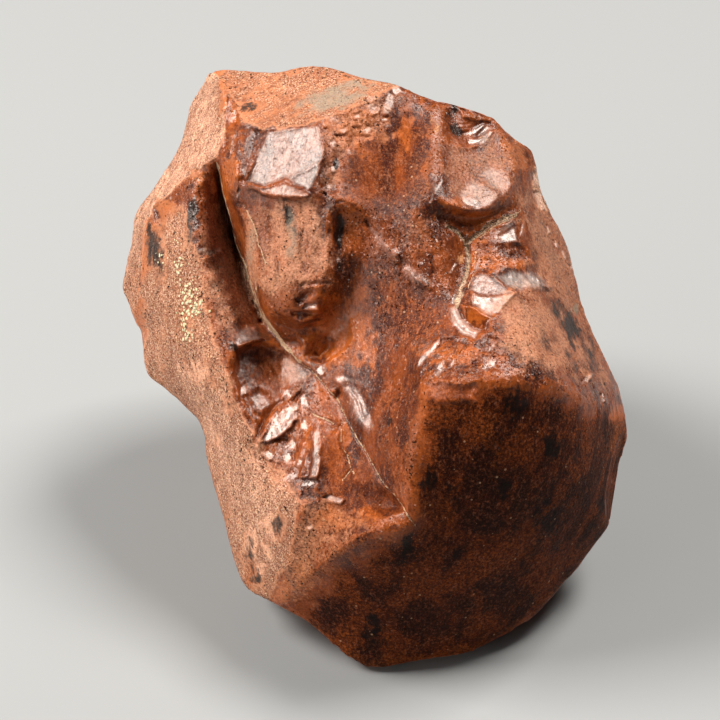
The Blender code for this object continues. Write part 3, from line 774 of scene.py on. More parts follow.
def thinOut(stone):
    # drops triangles where they show least: the drawn side and above all its cracks and facets stay dense
    triangles = sum(len(f.vertices) - 2 for f in stone.data.polygons)
    if triangles > stoneShape["mostTriangles"]:
        carving = Carving(readPoints(stone.data), readNormals(stone.data))
        plain = 1 - stoneShape["keepFront"] * carving.facing
        for rim in [form["rim"] for form in facets.values()] + list(brightChips.values()):
            plain[carving.near(rim, reach=0.4)] = 0
        for form in furrows.values():
            picked = carving.near(form["line"], reach=1.0)
            close = nearLine(carving.drawn[picked], form["line"])[0] < 0.6
            plain[picked[close]] = 0
        group = stone.vertex_groups.new(name="plain")
        for tenths in range(11):
            here = np.nonzero(np.round(plain * 10) == tenths)[0]
            group.add(here.tolist(), tenths / 10, "REPLACE")
        thin = stone.modifiers.new("fewer triangles", "DECIMATE")
        thin.ratio = stoneShape["mostTriangles"] / triangles
        thin.vertex_group = "plain"
        thin.vertex_group_factor = stoneShape["keepFactor"]
        bakeModifier(stone)
    print("stone: thinned from", triangles, "triangles")


# Weathered, frosted faces: how frosted (0 to 1), how softly that ends (mm), and the area on the sheet.
frostedAreas = {
    "upperLeft": (1.0, 0.5, [
        (190, 50), (214, 66), (221, 80), (221, 100), (226, 128), (216, 156), (200, 168), (175, 188), (155, 205),
        (147, 228), (144, 255), (139, 285), (136, 312), (137, 335), (90, 335), (90, 180)]),
    "top": (0.8, 0.6, [
        (213, 60), (420, 60), (402, 86), (384, 93), (368, 102), (345, 111), (320, 121), (300, 126), (262, 129),
        (240, 124), (238, 112), (232, 98), (224, 92), (220, 78)]),
    "leftFace": (0.97, 0.9, [
        (148, 236), (156, 224), (168, 214), (184, 204), (190, 216), (196, 240), (201, 262), (204, 290),
        (207, 312), (210, 334), (216, 350), (226, 376), (233, 396), (246, 420), (256, 446), (270, 466),
        (286, 484), (300, 503), (295, 528), (289, 552), (280, 580), (270, 600), (230, 610), (170, 430),
        (95, 400), (110, 346), (142, 346), (141, 285)]),
    "innerPatch": (0.6, 0.8, [(204, 280), (214, 276), (226, 282), (226, 298), (210, 300)]),
    "crownBand": (0.3, 1.4, [
        (322, 122), (345, 111), (370, 101), (384, 92), (402, 86), (410, 96), (394, 104), (386, 120), (378, 134),
        (364, 141), (350, 150), (342, 164), (336, 186), (330, 200), (322, 180)]),
    "grooveWall": (0.42, 1.5, [
        (208, 205), (222, 200), (236, 250), (252, 305), (236, 330), (216, 330), (206, 280), (204, 240)]),
    "cheekLow": (0.8, 3.5, [
        (165, 380), (168, 345), (208, 350), (228, 400), (250, 440), (290, 500), (285, 560), (262, 590),
        (240, 560), (222, 500), (190, 420)]),
    "slab": (0.5, 2.6, [
        (258, 200), (312, 200), (326, 220), (328, 262), (322, 282), (300, 288), (276, 298), (262, 290),
        (256, 250)]),
    "slabEdge": (0.5, 0.8, [
        (244, 206), (252, 212), (257, 240), (260, 280), (256, 296), (248, 280), (244, 240)]),
    "faceLeft": (0.12, 4.0, [
        (338, 166), (366, 141), (395, 150), (430, 130), (434, 190), (425, 250), (390, 235), (345, 200)]),
    "dish": (0.3, 2.5, [
        (438, 146), (470, 150), (496, 138), (512, 158), (512, 188), (496, 206), (470, 208), (446, 196)]),
    "shoulder": (0.42, 3.0, [
        (520, 200), (536, 170), (548, 200), (580, 270), (600, 330), (612, 372), (585, 370), (545, 300),
        (528, 250)]),
    # the shoulder's chips: frost with a painted highlight on it
    "shoulderHighlight": (1.0, 0.6, [(533, 165), (541, 165), (549, 190), (548, 212), (538, 210), (533, 188)]),
    "underCrust": (0.5, 3.0, [
        (498, 300), (530, 292), (560, 300), (600, 350), (612, 385), (560, 372), (510, 352), (500, 330)]),
    "keel": (0.45, 3.5, [
        (300, 505), (330, 500), (342, 520), (345, 545), (318, 566), (296, 590), (284, 590), (292, 550)]),
    "whiteSlope": (0.35, 1.5, [(281, 350), (300, 365), (310, 374), (296, 386), (282, 382)]),
}

# Patches of colour: x, y, half width, half height (squares), turn (degrees) and strength.
colourPatches = {
    "black": [
        (267, 228, 5, 24, 0, 0.55), (308, 245, 4, 22, 0, 0.5), (276, 262, 4, 18, 5, 0.5),
        (322, 232, 4, 20, 0, 0.45), (252, 107, 13, 4, 10, 0.9), (347, 76, 4, 4, 0, 0.9),
        (206, 76, 6, 3, 40, 0.7), (291, 70, 5, 5, 0, 0.5), (156, 250, 9, 24, 5, 0.95),
        (194, 216, 6, 24, -12, 0.85), (210, 256, 7, 6, 0, 0.6), (212, 286, 7, 6, 0, 0.5),
        (198, 252, 4, 4, 0, 0.4), (188, 322, 5, 10, 0, 0.5), (200, 372, 12, 9, 0, 0.4),
        (229, 405, 5, 8, 20, 0.55), (276, 525, 9, 9, 0, 0.7), (250, 550, 6, 15, -12, 0.75),
        (258, 574, 7, 12, -20, 0.7), (266, 550, 3, 9, 0, 0.55), (250, 458, 5, 10, 0, 0.35),
        (277, 474, 3, 5, 0, 0.5), (231, 344, 5, 8, 0, 1.0), (237, 372, 5, 16, 8, 0.3), (286, 199, 5, 4, 0, 0.8),
        (289, 214, 8, 14, 10, 0.75), (298, 232, 5, 14, 0, 0.6), (304, 268, 3, 6, 0, 0.55),
        (318, 246, 3, 8, 0, 0.35), (339, 234, 4, 22, 0, 1.0), (338, 262, 5, 9, 0, 0.6),
        (336, 163, 4, 8, 0, 0.8), (354, 172, 11, 16, 20, 0.35), (402, 176, 4, 13, 0, 0.5),
        (404, 202, 8, 8, 0, 0.4), (376, 200, 8, 7, 0, 0.35), (386, 238, 6, 8, 30, 0.4),
        (453, 113, 5, 9, 0, 0.85), (456, 130, 6, 8, 20, 0.95), (430, 166, 4, 4, 0, 0.4),
        (416, 348, 4, 8, 0, 0.4), (558, 312, 7, 10, 0, 0.75), (570, 328, 9, 20, 15, 0.9),
        (571, 352, 5, 9, 0, 0.6), (498, 320, 5, 6, 0, 0.5), (534, 375, 7, 12, 0, 0.6),
        (516, 402, 18, 18, 0, 0.8), (556, 418, 8, 8, 0, 0.6), (550, 444, 9, 14, 10, 0.95),
        (504, 488, 8, 12, 0, 0.9), (516, 446, 9, 12, 0, 0.6), (514, 512, 6, 8, 0, 0.6),
        (546, 520, 14, 17, 0, 0.7), (427, 483, 8, 14, 0, 0.8), (452, 500, 10, 14, 0, 0.6),
        (408, 548, 7, 20, 0, 0.85), (457, 556, 9, 12, 0, 0.75), (475, 529, 6, 10, 0, 0.6),
        (374, 632, 12, 22, 5, 0.85), (398, 652, 6, 6, 0, 0.5), (347, 628, 5, 5, 0, 0.5),
        (473, 586, 12, 8, 0, 0.45), (601, 501, 9, 12, 0, 0.6), (592, 356, 10, 16, 0, 0.6),
        (548, 340, 10, 10, 0, 0.55), (580, 364, 8, 8, 0, 0.55), (575, 290, 5, 12, -20, 0.5),
        (580, 430, 8, 14, 0, 0.5), (390, 423, 4, 6, 0, 0.8), (383, 402, 4, 5, 0, 0.5), (330, 534, 4, 4, 0, 0.7),
        (328, 548, 5, 5, 0, 0.4), (380, 580, 6, 14, 0, 0.45), (440, 620, 12, 10, 0, 0.4),
        (560, 560, 10, 10, 0, 0.45),
    ],
    # Amber: the glass's own thinner zones, and painted light: a glow where light would shine through thin
    # edges, and lighter ground in the shade under the dish's lip.
    "amber": [
        (350, 235, 9, 40, 0, 0.7), (288, 425, 30, 40, 0, 0.6), (340, 470, 18, 36, 0, 0.5),
        (495, 262, 30, 14, 0, 0.8), (405, 128, 9, 27, 0, 0.8), (368, 516, 22, 10, -12, 0.7),
        (347, 140, 12, 34, 50, 0.8), (345, 478, 20, 26, 0, 0.3), (346, 436, 5, 11, 0, 1.0),
        (340, 335, 38, 40, 0, 0.95), (618, 430, 12, 34, 0, 0.9), (270, 368, 20, 22, 0, 0.7),
        (265, 344, 12, 5, 0, 0.9), (478, 314, 14, 9, 25, 1.0), (478, 219, 34, 8, 0, 1.0),
        (455, 205, 10, 8, 20, 0.8), (518, 264, 17, 6, 8, 1.0), (508, 290, 9, 4, 20, 0.9),
        (480, 242, 12, 4, -25, 1.0), (495, 252, 22, 7, 0, 0.6), (168, 206, 11, 6, 0, 1.0),
        (200, 176, 22, 8, -40, 0.9), (228, 178, 9, 26, -5, 0.9), (262, 95, 44, 22, 0, 0.7),
        (232, 110, 8, 20, 0, 0.8), (360, 84, 30, 8, 15, 0.6), (345, 210, 10, 7, 0, 0.9),
        (362, 294, 9, 18, -30, 0.9), (392, 300, 26, 40, 0, 0.5), (398, 470, 12, 54, 8, 0.45),
        (420, 330, 26, 22, 0, 0.5), (535, 165, 10, 14, 40, 0.6), (522, 200, 7, 40, 0, 0.6),
        (450, 358, 34, 14, -5, 0.8), (505, 385, 70, 8, 0, 0.3), (136, 268, 6, 14, 0, 0.8),
        (134, 310, 6, 20, 10, 0.8), (141, 262, 5, 50, 3, 0.9), (236, 250, 8, 40, -15, 0.5),
        (425, 395, 12, 26, 0, 0.5), (245, 585, 8, 24, -20, 0.8), (300, 340, 16, 22, -35, 0.5),
        (306, 432, 8, 16, 0, 0.8), (268, 450, 12, 6, -30, 0.7), (330, 395, 14, 16, 0, 0.5),
        (285, 592, 22, 12, 35, 0.7), (300, 512, 6, 20, -15, 0.7), (300, 530, 30, 14, -30, 0.3),
        (410, 250, 26, 26, 0, 0.5), (316, 312, 14, 8, 0, 0.4), (256, 90, 10, 40, 0, 0.4),
    ],
    "clay": [
        (292, 232, 8, 28, 0, 0.75), (250, 252, 5, 45, -8, 0.7), (306, 220, 4, 14, 0, 0.5),
        (224, 268, 8, 14, 0, 0.6), (335, 97, 34, 15, 20, 0.95), (249, 236, 5, 26, -4, 0.35),
        (291, 222, 6, 24, -6, 0.5), (250, 276, 5, 18, 10, 0.35), (396, 206, 18, 11, 0, 0.3),
        (342, 270, 9, 11, 0, 0.4), (515, 340, 46, 18, 0, 0.3), (292, 74, 10, 12, 0, 0.5),
        (215, 288, 9, 10, 0, 0.7), (208, 254, 10, 6, 0, 0.6), (302, 240, 5, 26, 0, 0.35),
        (420, 345, 8, 10, 0, 0.4), (575, 308, 6, 5, 40, 0.9), (582, 345, 24, 36, -15, 0.35),
        (556, 316, 18, 20, 0, 0.45), (262, 145, 5, 16, 10, 0.35),
    ],
    # Rust: orange skin; on the upper left face some of it is painted shade, darkening ground that the key light
    # falls on more fully.
    "rust": [
        (156, 232, 14, 18, 0, 0.8), (166, 252, 12, 14, 0, 0.5), (515, 150, 14, 26, 0, 0.7),
        (300, 575, 16, 26, 20, 0.7), (134, 300, 8, 50, 0, 1.0), (146, 258, 8, 30, 10, 0.8),
        (168, 208, 14, 9, -30, 1.0), (200, 178, 22, 8, -40, 0.9), (246, 585, 8, 26, -20, 0.9),
        (285, 592, 22, 12, 35, 0.7), (540, 250, 16, 55, -15, 0.35), (590, 320, 9, 50, -20, 0.3),
        (604, 376, 9, 18, -15, 0.5), (176, 290, 16, 40, 10, 0.5), (190, 372, 20, 20, 0, 0.45),
        (228, 452, 10, 30, -20, 0.5), (222, 92, 6, 36, 0, 0.9), (355, 122, 40, 18, -30, 0.8),
        (340, 520, 30, 14, -15, 0.7), (232, 150, 6, 30, 0, 0.6), (470, 170, 20, 8, 0, 0.5),
        (505, 158, 8, 20, -20, 0.6),
    ],
    "tan": [(436, 126, 4, 8, 32, 1.0), (460, 258, 5, 5, 0, 1.0), (181, 331, 4, 5, 0, 0.8)],
    "cream": [
        (176, 264, 26, 10, -12, 1.0), (192, 300, 17, 38, 10, 1.05), (174, 243, 8, 8, 0, 1.0),
        (187, 334, 13, 13, 0, 1.05), (172, 280, 6, 3, 0, 0.7), (172, 307, 4, 4, 0, 0.6),
        (270, 492, 10, 6, 0, 0.3), (345, 268, 9, 9, 0, 0.5),
    ],
}

# Dull ground, where its own dark glass is darkened further with painted shade, as the lower face turns away
# from the lamps; and matt ground, where a fine weathering skin swallows the shine: strength, softness (mm)
# and the area on the sheet.
dullShadeAreas = {
    "lowerFace": (1.0, 3.2, [
        (425, 395), (460, 392), (505, 384), (530, 392), (580, 404), (640, 410), (640, 560), (520, 640),
        (440, 690), (340, 690), (290, 610), (330, 575), (415, 525), (412, 470)]),
}
mattAreas = {
    "lowerFace": dullShadeAreas["lowerFace"],
    "valley": (1.0, 4.0, [
        (350, 160), (372, 142), (396, 112), (424, 112), (430, 140), (424, 185), (405, 205), (370, 202),
        (350, 196)]),
    "underRidge": (0.8, 3.0, [
        (384, 285), (410, 290), (440, 300), (446, 330), (420, 350), (395, 345), (380, 320)]),
    "wedge": (0.8, 2.0, [
        (324, 430), (340, 430), (372, 470), (400, 508), (380, 530), (350, 545), (300, 590), (290, 560),
        (304, 510), (322, 490)]),
    "seamRight": (0.6, 3.0, [(380, 400), (415, 400), (418, 500), (398, 480)]),
}

# Dust and crust in the cracks: half width (mm), strength, and the line on the sheet.
filledLines = {
    "dust": [
        (0.15, 0.9, [(217, 163), (223, 190), (229, 215), (236, 243), (244, 266), (252, 288), (260, 310)]),
        (0.9, 0.6, [(244, 270), (250, 288), (256, 304), (264, 322)]),
        (0.45, 0.85, [(256, 300), (264, 318), (270, 328), (280, 340), (290, 352), (300, 361)]),
        (0.13, 1.0, [
            (302, 363), (313, 372), (325, 385), (334, 396), (341, 406), (353, 430), (368, 457), (384, 483),
            (400, 504), (416, 526)]),
        (0.13, 1.0, furrows["branch"]["line"]),
        (0.12, 1.0, furrows["branchFork"]["line"]),
        (0.16, 1.0, furrows["branchShort"]["line"]),
        (0.14, 0.9, [(522, 209), (505, 221), (490, 229), (479, 238)]),
        (0.14, 0.9, [(477, 249), (475, 268), (468, 288)]),
        (0.2, 0.9, [(247, 210), (252, 222), (257, 242), (268, 266)]),
        (0.2, 0.8, [(257, 275), (255, 292), (258, 303)]),
    ],
    "crust": [
        (0.5, 1.0, [
            (514, 215), (500, 220), (488, 226), (478, 233), (467, 242), (469, 256), (466, 272), (462, 288),
            (457, 306)]),
        (0.45, 0.9, [(446, 226), (455, 231), (466, 240)]),
    ],
}


def patchesAt(xy, patches, wander):
    # how strongly each place lies in a patch; wander roughens the edges, here and below
    total = np.zeros(len(xy))
    for x, y, halfWide, halfHigh, turn, strength in patches:
        offset = xy - squares([(x, y)])[0]
        c, s = cos(radians(turn)), sin(radians(turn))
        wide = (offset[:, 0] * c + offset[:, 1] * s) / (halfWide * sheet["squareMm"])
        high = (offset[:, 1] * c - offset[:, 0] * s) / (halfHigh * sheet["squareMm"])
        total = np.maximum(total, strength * smoothStep(1.6, 0.4, np.hypot(wide, high) + wander))
    return total


def linesAt(xy, lines, wander):
    total = np.zeros(len(xy))
    for halfWidth, strength, line in lines:
        d = nearLine(xy, line)[0] / halfWidth
        total = np.maximum(total, strength * smoothStep(1.5, 0.5, d + wander))
    return total


def areasAt(xy, areas, wander):
    total = np.zeros(len(xy))
    for strength, soft, rim in areas.values():
        total = np.maximum(total, strength * smoothStep(-soft, soft, insideRim(xy, rim) + wander * soft))
    return total


def finishAt(xy, finish):
    # how glossy or hazy the fresh facets are, the haze partly a painted highlight; the ground round them is
    # neither
    forms = list(facets.values()) + [dict(chipStyle, rim=rim) for rim in brightChips.values()]
    total = np.zeros(len(xy))
    for form in forms:
        inside = smoothStep(-form["soft"] / 2, form["soft"] / 2, insideRim(xy, form["rim"]))
        total = np.maximum(total * (1 - inside), form.get(finish, 0) * inside)
    return total


def setAttribute(mesh, name, values):
    layer = mesh.attributes.new(name, "FLOAT", "POINT")
    layer.data.foreach_set("value", np.clip(values, 0, 1).astype(np.float32))


# Painted light: the pale coat lightens the upper left and lower left faces as if more light fell on them, and
# paints a highlight on the shoulder's chips, over their frost.
paleLightAreas = {name: frostedAreas[name] for name in ("upperLeft", "shoulderHighlight", "cheekLow")}
rustyAreas = {"top": frostedAreas["top"]}
streakStretch = 0.45  # colour runs in streaks up the stone
leastFrost, frostWaver = 0.16, 0.12  # a little frosting lies everywhere, more here and less there
# The hidden sides get their colours from noise: size (mm), seed, octaves, where the noise begins to count and
# where it counts in full, and the strength. Streaks of black run over all sides.
hiddenColours = {
    "black": (8, 46, 3, 0.05, 0.5, 0.95),
    "amber": (12, 47, 2, 0.15, 0.7, 0.5),
}
blackStreaks = (2.4, 48, 3, 0.35, 0.7, 0.35)
hiddenMatt = (15, 49, 2, -0.3, 0.3, 0.6)


def cloudsAt(points, sizeMm, seed, octaves, start, full, strength):
    return strength * smoothStep(start, full, noiseAt(points, sizeMm, seed, octaves))


def markFinishes(stone):
    # writes how strongly each colour and finish lies on each place, for the material to read
    mesh = stone.data
    points, normals, edges = readPoints(mesh), readNormals(mesh), readEdges(mesh)
    mm = points * 1000
    carving = Carving(points, normals)
    seen = smoothStep(0, 0.3, carving.facing)  # places hidden behind the drawn skin get a finish of their own
    hidden = 1 - seen
    xy = carving.drawn
    rough = noiseAt(mm, sizeMm=2.2, seed=41, octaves=3)
    fine = noiseAt(mm, sizeMm=0.9, seed=43, octaves=2)
    drawnOut = mm * (1, 1, streakStretch)

    marks = {}
    for name, patches in colourPatches.items():
        marks[name] = seen * patchesAt(xy, patches, rough * 0.9 + fine * 0.5)
    for name, lines in filledLines.items():
        marks[name] = seen * linesAt(xy, lines, fine * 0.7)
    for name, clouds in hiddenColours.items():
        marks[name] += hidden * cloudsAt(drawnOut, *clouds)
    marks["black"] = np.maximum(marks["black"], cloudsAt(drawnOut, *blackStreaks))
    hiddenFrost = noiseAt(mm, sizeMm=20, seed=44, octaves=2) + 0.4 * noiseAt(mm, sizeMm=4, seed=45, octaves=2)
    hiddenFrost = 0.55 * smoothStep(0.0, 0.6, hiddenFrost)
    frost = leastFrost + frostWaver * rough
    frost = frost + seen * areasAt(xy, frostedAreas, rough * 1.2) + hidden * hiddenFrost
    marks["frost"] = np.clip(frost, 0, 1) * (1 - 0.55 * marks["black"])
    # painted light on the left faces and a painted highlight on the shoulder
    marks["pale"] = seen * areasAt(xy, paleLightAreas, rough)
    marks["rust"] = np.maximum(marks["rust"], seen * areasAt(xy, rustyAreas, rough))
    marks["gloss"] = seen * finishAt(xy, "gloss")
    # the haze is partly a painted highlight on the facets
    marks["haze"] = seen * finishAt(xy, "haze")
    chipped = [smoothStep(*chippedEdge, insideRim(xy, form["rim"]) + rough) for form in chippedGround.values()]
    marks["chipped"] = seen * np.max(chipped, axis=0)
    # the dull mark also paints shade: it darkens the lower face, which turns away from the lamps
    marks["dull"] = seen * areasAt(xy, dullShadeAreas, rough)
    marks["matt"] = seen * areasAt(xy, mattAreas, rough) * (1 - marks["gloss"])
    marks["matt"] += hidden * cloudsAt(mm, *hiddenMatt)
    marks["crest"] = smoothStep(0.012, 0.06, bendAt(mm, normals, edges, rounds=4))
    for name, values in marks.items():
        setAttribute(mesh, name, values)


def linear(hexColour):
    # sRGB hex to the linear colour that a shader takes
    parts = [int(hexColour[i:i + 2], 16) / 255 for i in (1, 3, 5)]
    return tuple(c / 12.92 if c <= 0.04045 else ((c + 0.055) / 1.055) ** 2.4 for c in parts) + (1,)


def addNode(tree, kind, inputs, output=0, **settings):
    # one node with its settings, fed by values or by other nodes' outputs; gives back one of its own outputs
    node = tree.nodes.new("ShaderNode" + kind)
    for key, value in settings.items():
        setattr(node, key, value)
    for key, value in inputs.items():
        if isinstance(value, bpy.types.NodeSocket):
            tree.links.new(value, node.inputs[key])
        else:
            node.inputs[key].default_value = value
    return node.outputs[output]


volcanicGlass = {
    "colours": {
        "deep": "#3A1208", "mahogany": "#7C3711",  # glass stained by iron, thick and thinner
        "amber": "#B0561B",  # thin glass: its own orange, and a painted glow of light shining through it
        "black": "#110B09",  # glass with no rusted iron in it
        "shadeUmber": "#1C0A05",  # painted shade, darkening the lower face beyond its own dark glass
        "bloom": "#CF8B65", "bloomOrange": "#B5683C", "bloomPale": "#EEAF8B",  # skin worn by sand; bloomPale also paints light on the left faces and the shoulder's highlight
        "bloomLight": "#F3C8A6", "bloomDark": "#7A3D1C",  # its raised grains and its pits; the light grains also stand as painted glints on chipped ground
        "clay": "#8F806C", "tan": "#C98A5C",  # grey-brown and light brown earth rubbed into it
        "bruiseHighlight": "#B59684", "haze": "#D6CBC0",  # crushed glass in a fresh break, faint and thick, also standing as painted highlights on the facets
        "cream": "#DCCDA2", "dust": "#C8A27E",  # pale grains stuck to the left face, and dust in the seam
        "crust": "#CBA686", "crustDark": "#77573F",  # dried mineral crust and the hollows in it
        "fleck": "#C79A78",  # single grains all over
    },
    "ior": 1.49,
    "sheen": "#FFF1E6",  # iron in the skin of the glass warms its shine a little
    "roughness": 0.27,  # satin: old breaks in obsidian are never quite mirrors
    "shine": 0.5, "mattLoss": -0.43,  # the usual specular level, and what a weathering skin takes from it
    "glow": 0.1, "glowReachM": 0.002, "glowSpread": (1.0, 0.35, 0.12),  # light in the glass, red going farthest
    # noises: size (mm), whether stretched along the flow, detail, roughness, distortion
    "noises": {
        "cloud": (6.0, True, 4, 0.62, 0.5), "fibre": (0.7, True, 3, 0.7, 0.3),
        "blotch": (1.3, True, 4, 0.7, 0.4), "speck": (0.55, False, 3, 0.7, 0.0),
        "grain": (0.5, False, 2, 0.75, 0.0),  # real frosting is 0.1 mm or finer: drawn coarser to show
        "grit": (0.34, False, 3, 0.85, 0.0),
        "chatter": (1.8, False, 3, 0.55, 0.6),
    },
    "flowStretch": 2.4,
    "glossCalm": 0.9,  # how much smoother the glossy facets are in the small
    "cellMm": 0.32,  # crumbs of crust and earth, and which of the tiny facets glitter most
    "dotMm": 0.76,  # pale grains stuck to the left face
    # flecks: at most one to a cell of this size, the lots that get one, the greatest radius (cells), strength
    "fleckMm": 1.5, "fleckLots": (0.55, 1.0), "fleckRadius": 0.16, "fleckStrength": 0.5,
    # glitter: the size of the tiny tilted facets, drawn coarser than real, and how far they tilt
    "glitterMm": 0.42, "glitterTilt": 0.07,
    "leastSpark": 0.3, "sparkGain": 6.0, "sparkRarity": 5.0,  # most tilt a little and a few tilt a lot
}

# Coats of colour: the mark that it lies on (None: the whole stone), the noise that breaks it up and how much,
# where it starts and where it is full, the greatest share, and the colour.
coats = [
    (None, "cloud", 1.0, 0.38, 0.62, 1.0, "mahogany"),
    (None, "fibre", 1.0, 0.50, 0.72, 0.45, "amber"),
    (None, "fibre", -1.0, -0.48, -0.26, 0.45, "deep"),
    ("amber", "fibre", 1.0, 0.85, 1.60, 0.92, "amber"),
    (None, "grit", 1.0, 0.53, 0.70, 0.7, "amber"),
    (None, "grit", -1.0, -0.47, -0.30, 0.8, "deep"),
    # painted glow: amber on the sharp edges, as if light shone through the thin glass
    ("crest", "speck", 1.0, 0.90, 1.50, 0.35, "amber"),
    # painted shade: umber darkens the lower face over its own dark glass
    ("dull", "speck", -1.2, 0.20, 0.60, 0.85, "shadeUmber"),
    ("dull", "cloud", -1.2, 0.30, 0.62, 0.5, "shadeUmber"),
    ("dull", "grit", -1.2, 0.34, 0.60, 0.6, "shadeUmber"),
    ("dull", "fibre", 1.2, 1.62, 1.95, 0.4, "mahogany"),
    ("frost", "speck", 1.0, 0.70, 1.45, 0.88, "bloom"),
    # painted light: the pale coat on the left faces and the shoulder's highlight
    ("pale", "speck", 0.6, 0.80, 1.20, 0.85, "bloomPale"),
    ("rust", "speck", 0.8, 0.80, 1.30, 0.85, "bloomOrange"),
    ("frost", "cloud", -1.4, 0.16, 0.48, 0.5, "bloomDark"),
    ("frost", "blotch", -1.2, 0.18, 0.56, 0.75, "bloomDark"),
    ("frost", "grit", -1.4, 0.27, 0.50, 0.85, "bloomDark"),
    ("frost", "grit", 1.4, 1.67, 1.92, 0.75, "bloomLight"),
    # painted glints: pale grains on the chipped ground, where small chips would catch the light
    ("chipped", "grit", 1.4, 1.84, 2.08, 0.5, "bloomLight"),
    # painted highlights over the fresh facets: a pale bruise and haze, partly crushed glass
    ("gloss", "blotch", 0.8, 0.90, 1.40, 0.28, "bruiseHighlight"),
    ("haze", "fibre", 0.6, 0.30, 1.30, 0.9, "haze"),
    ("black", "blotch", 1.8, 1.30, 1.80, 0.92, "black"),
    ("clay", "grit", 1.2, 0.95, 1.75, 0.9, "clay"),
    ("tan", "cell", 0.5, 0.70, 1.30, 0.9, "tan"),
    ("cream", "dot", 1.0, 1.50, 1.60, 1.0, "cream"),
    ("dust", "grit", 1.2, 1.05, 1.55, 0.95, "dust"),
    ("crust", "grain", 0.4, 0.50, 0.90, 0.9, "crustDark"),
    ("crust", "cell", 0.8, 0.90, 1.70, 1.0, "crust"),
]
# What each mark adds to the roughness, and to the tilt of the tiny facets that glitter.
roughnessShares = {
    "frost": 0.38, "gloss": -0.11, "matt": 0.22, "haze": 0.1,
    "dust": 0.3, "crust": 0.4, "cream": 0.3, "clay": 0.2,
}
glitterShares = {"frost": 0.42, "gloss": -0.05, "crest": 0.22, "chipped": 0.3, "crust": 0.3}
# Bump: noise, the mark that it lies on and its height (mm).
bumps = [
    ("grain", "frost", 0.3), ("grit", "frost", 0.18), ("speck", None, 0.08), ("fibre", None, 0.09),
    ("chatter", None, 0.06), ("grain", "crust", 0.5), ("dot", "cream", 0.5), ("grain", "dust", 0.3),
]


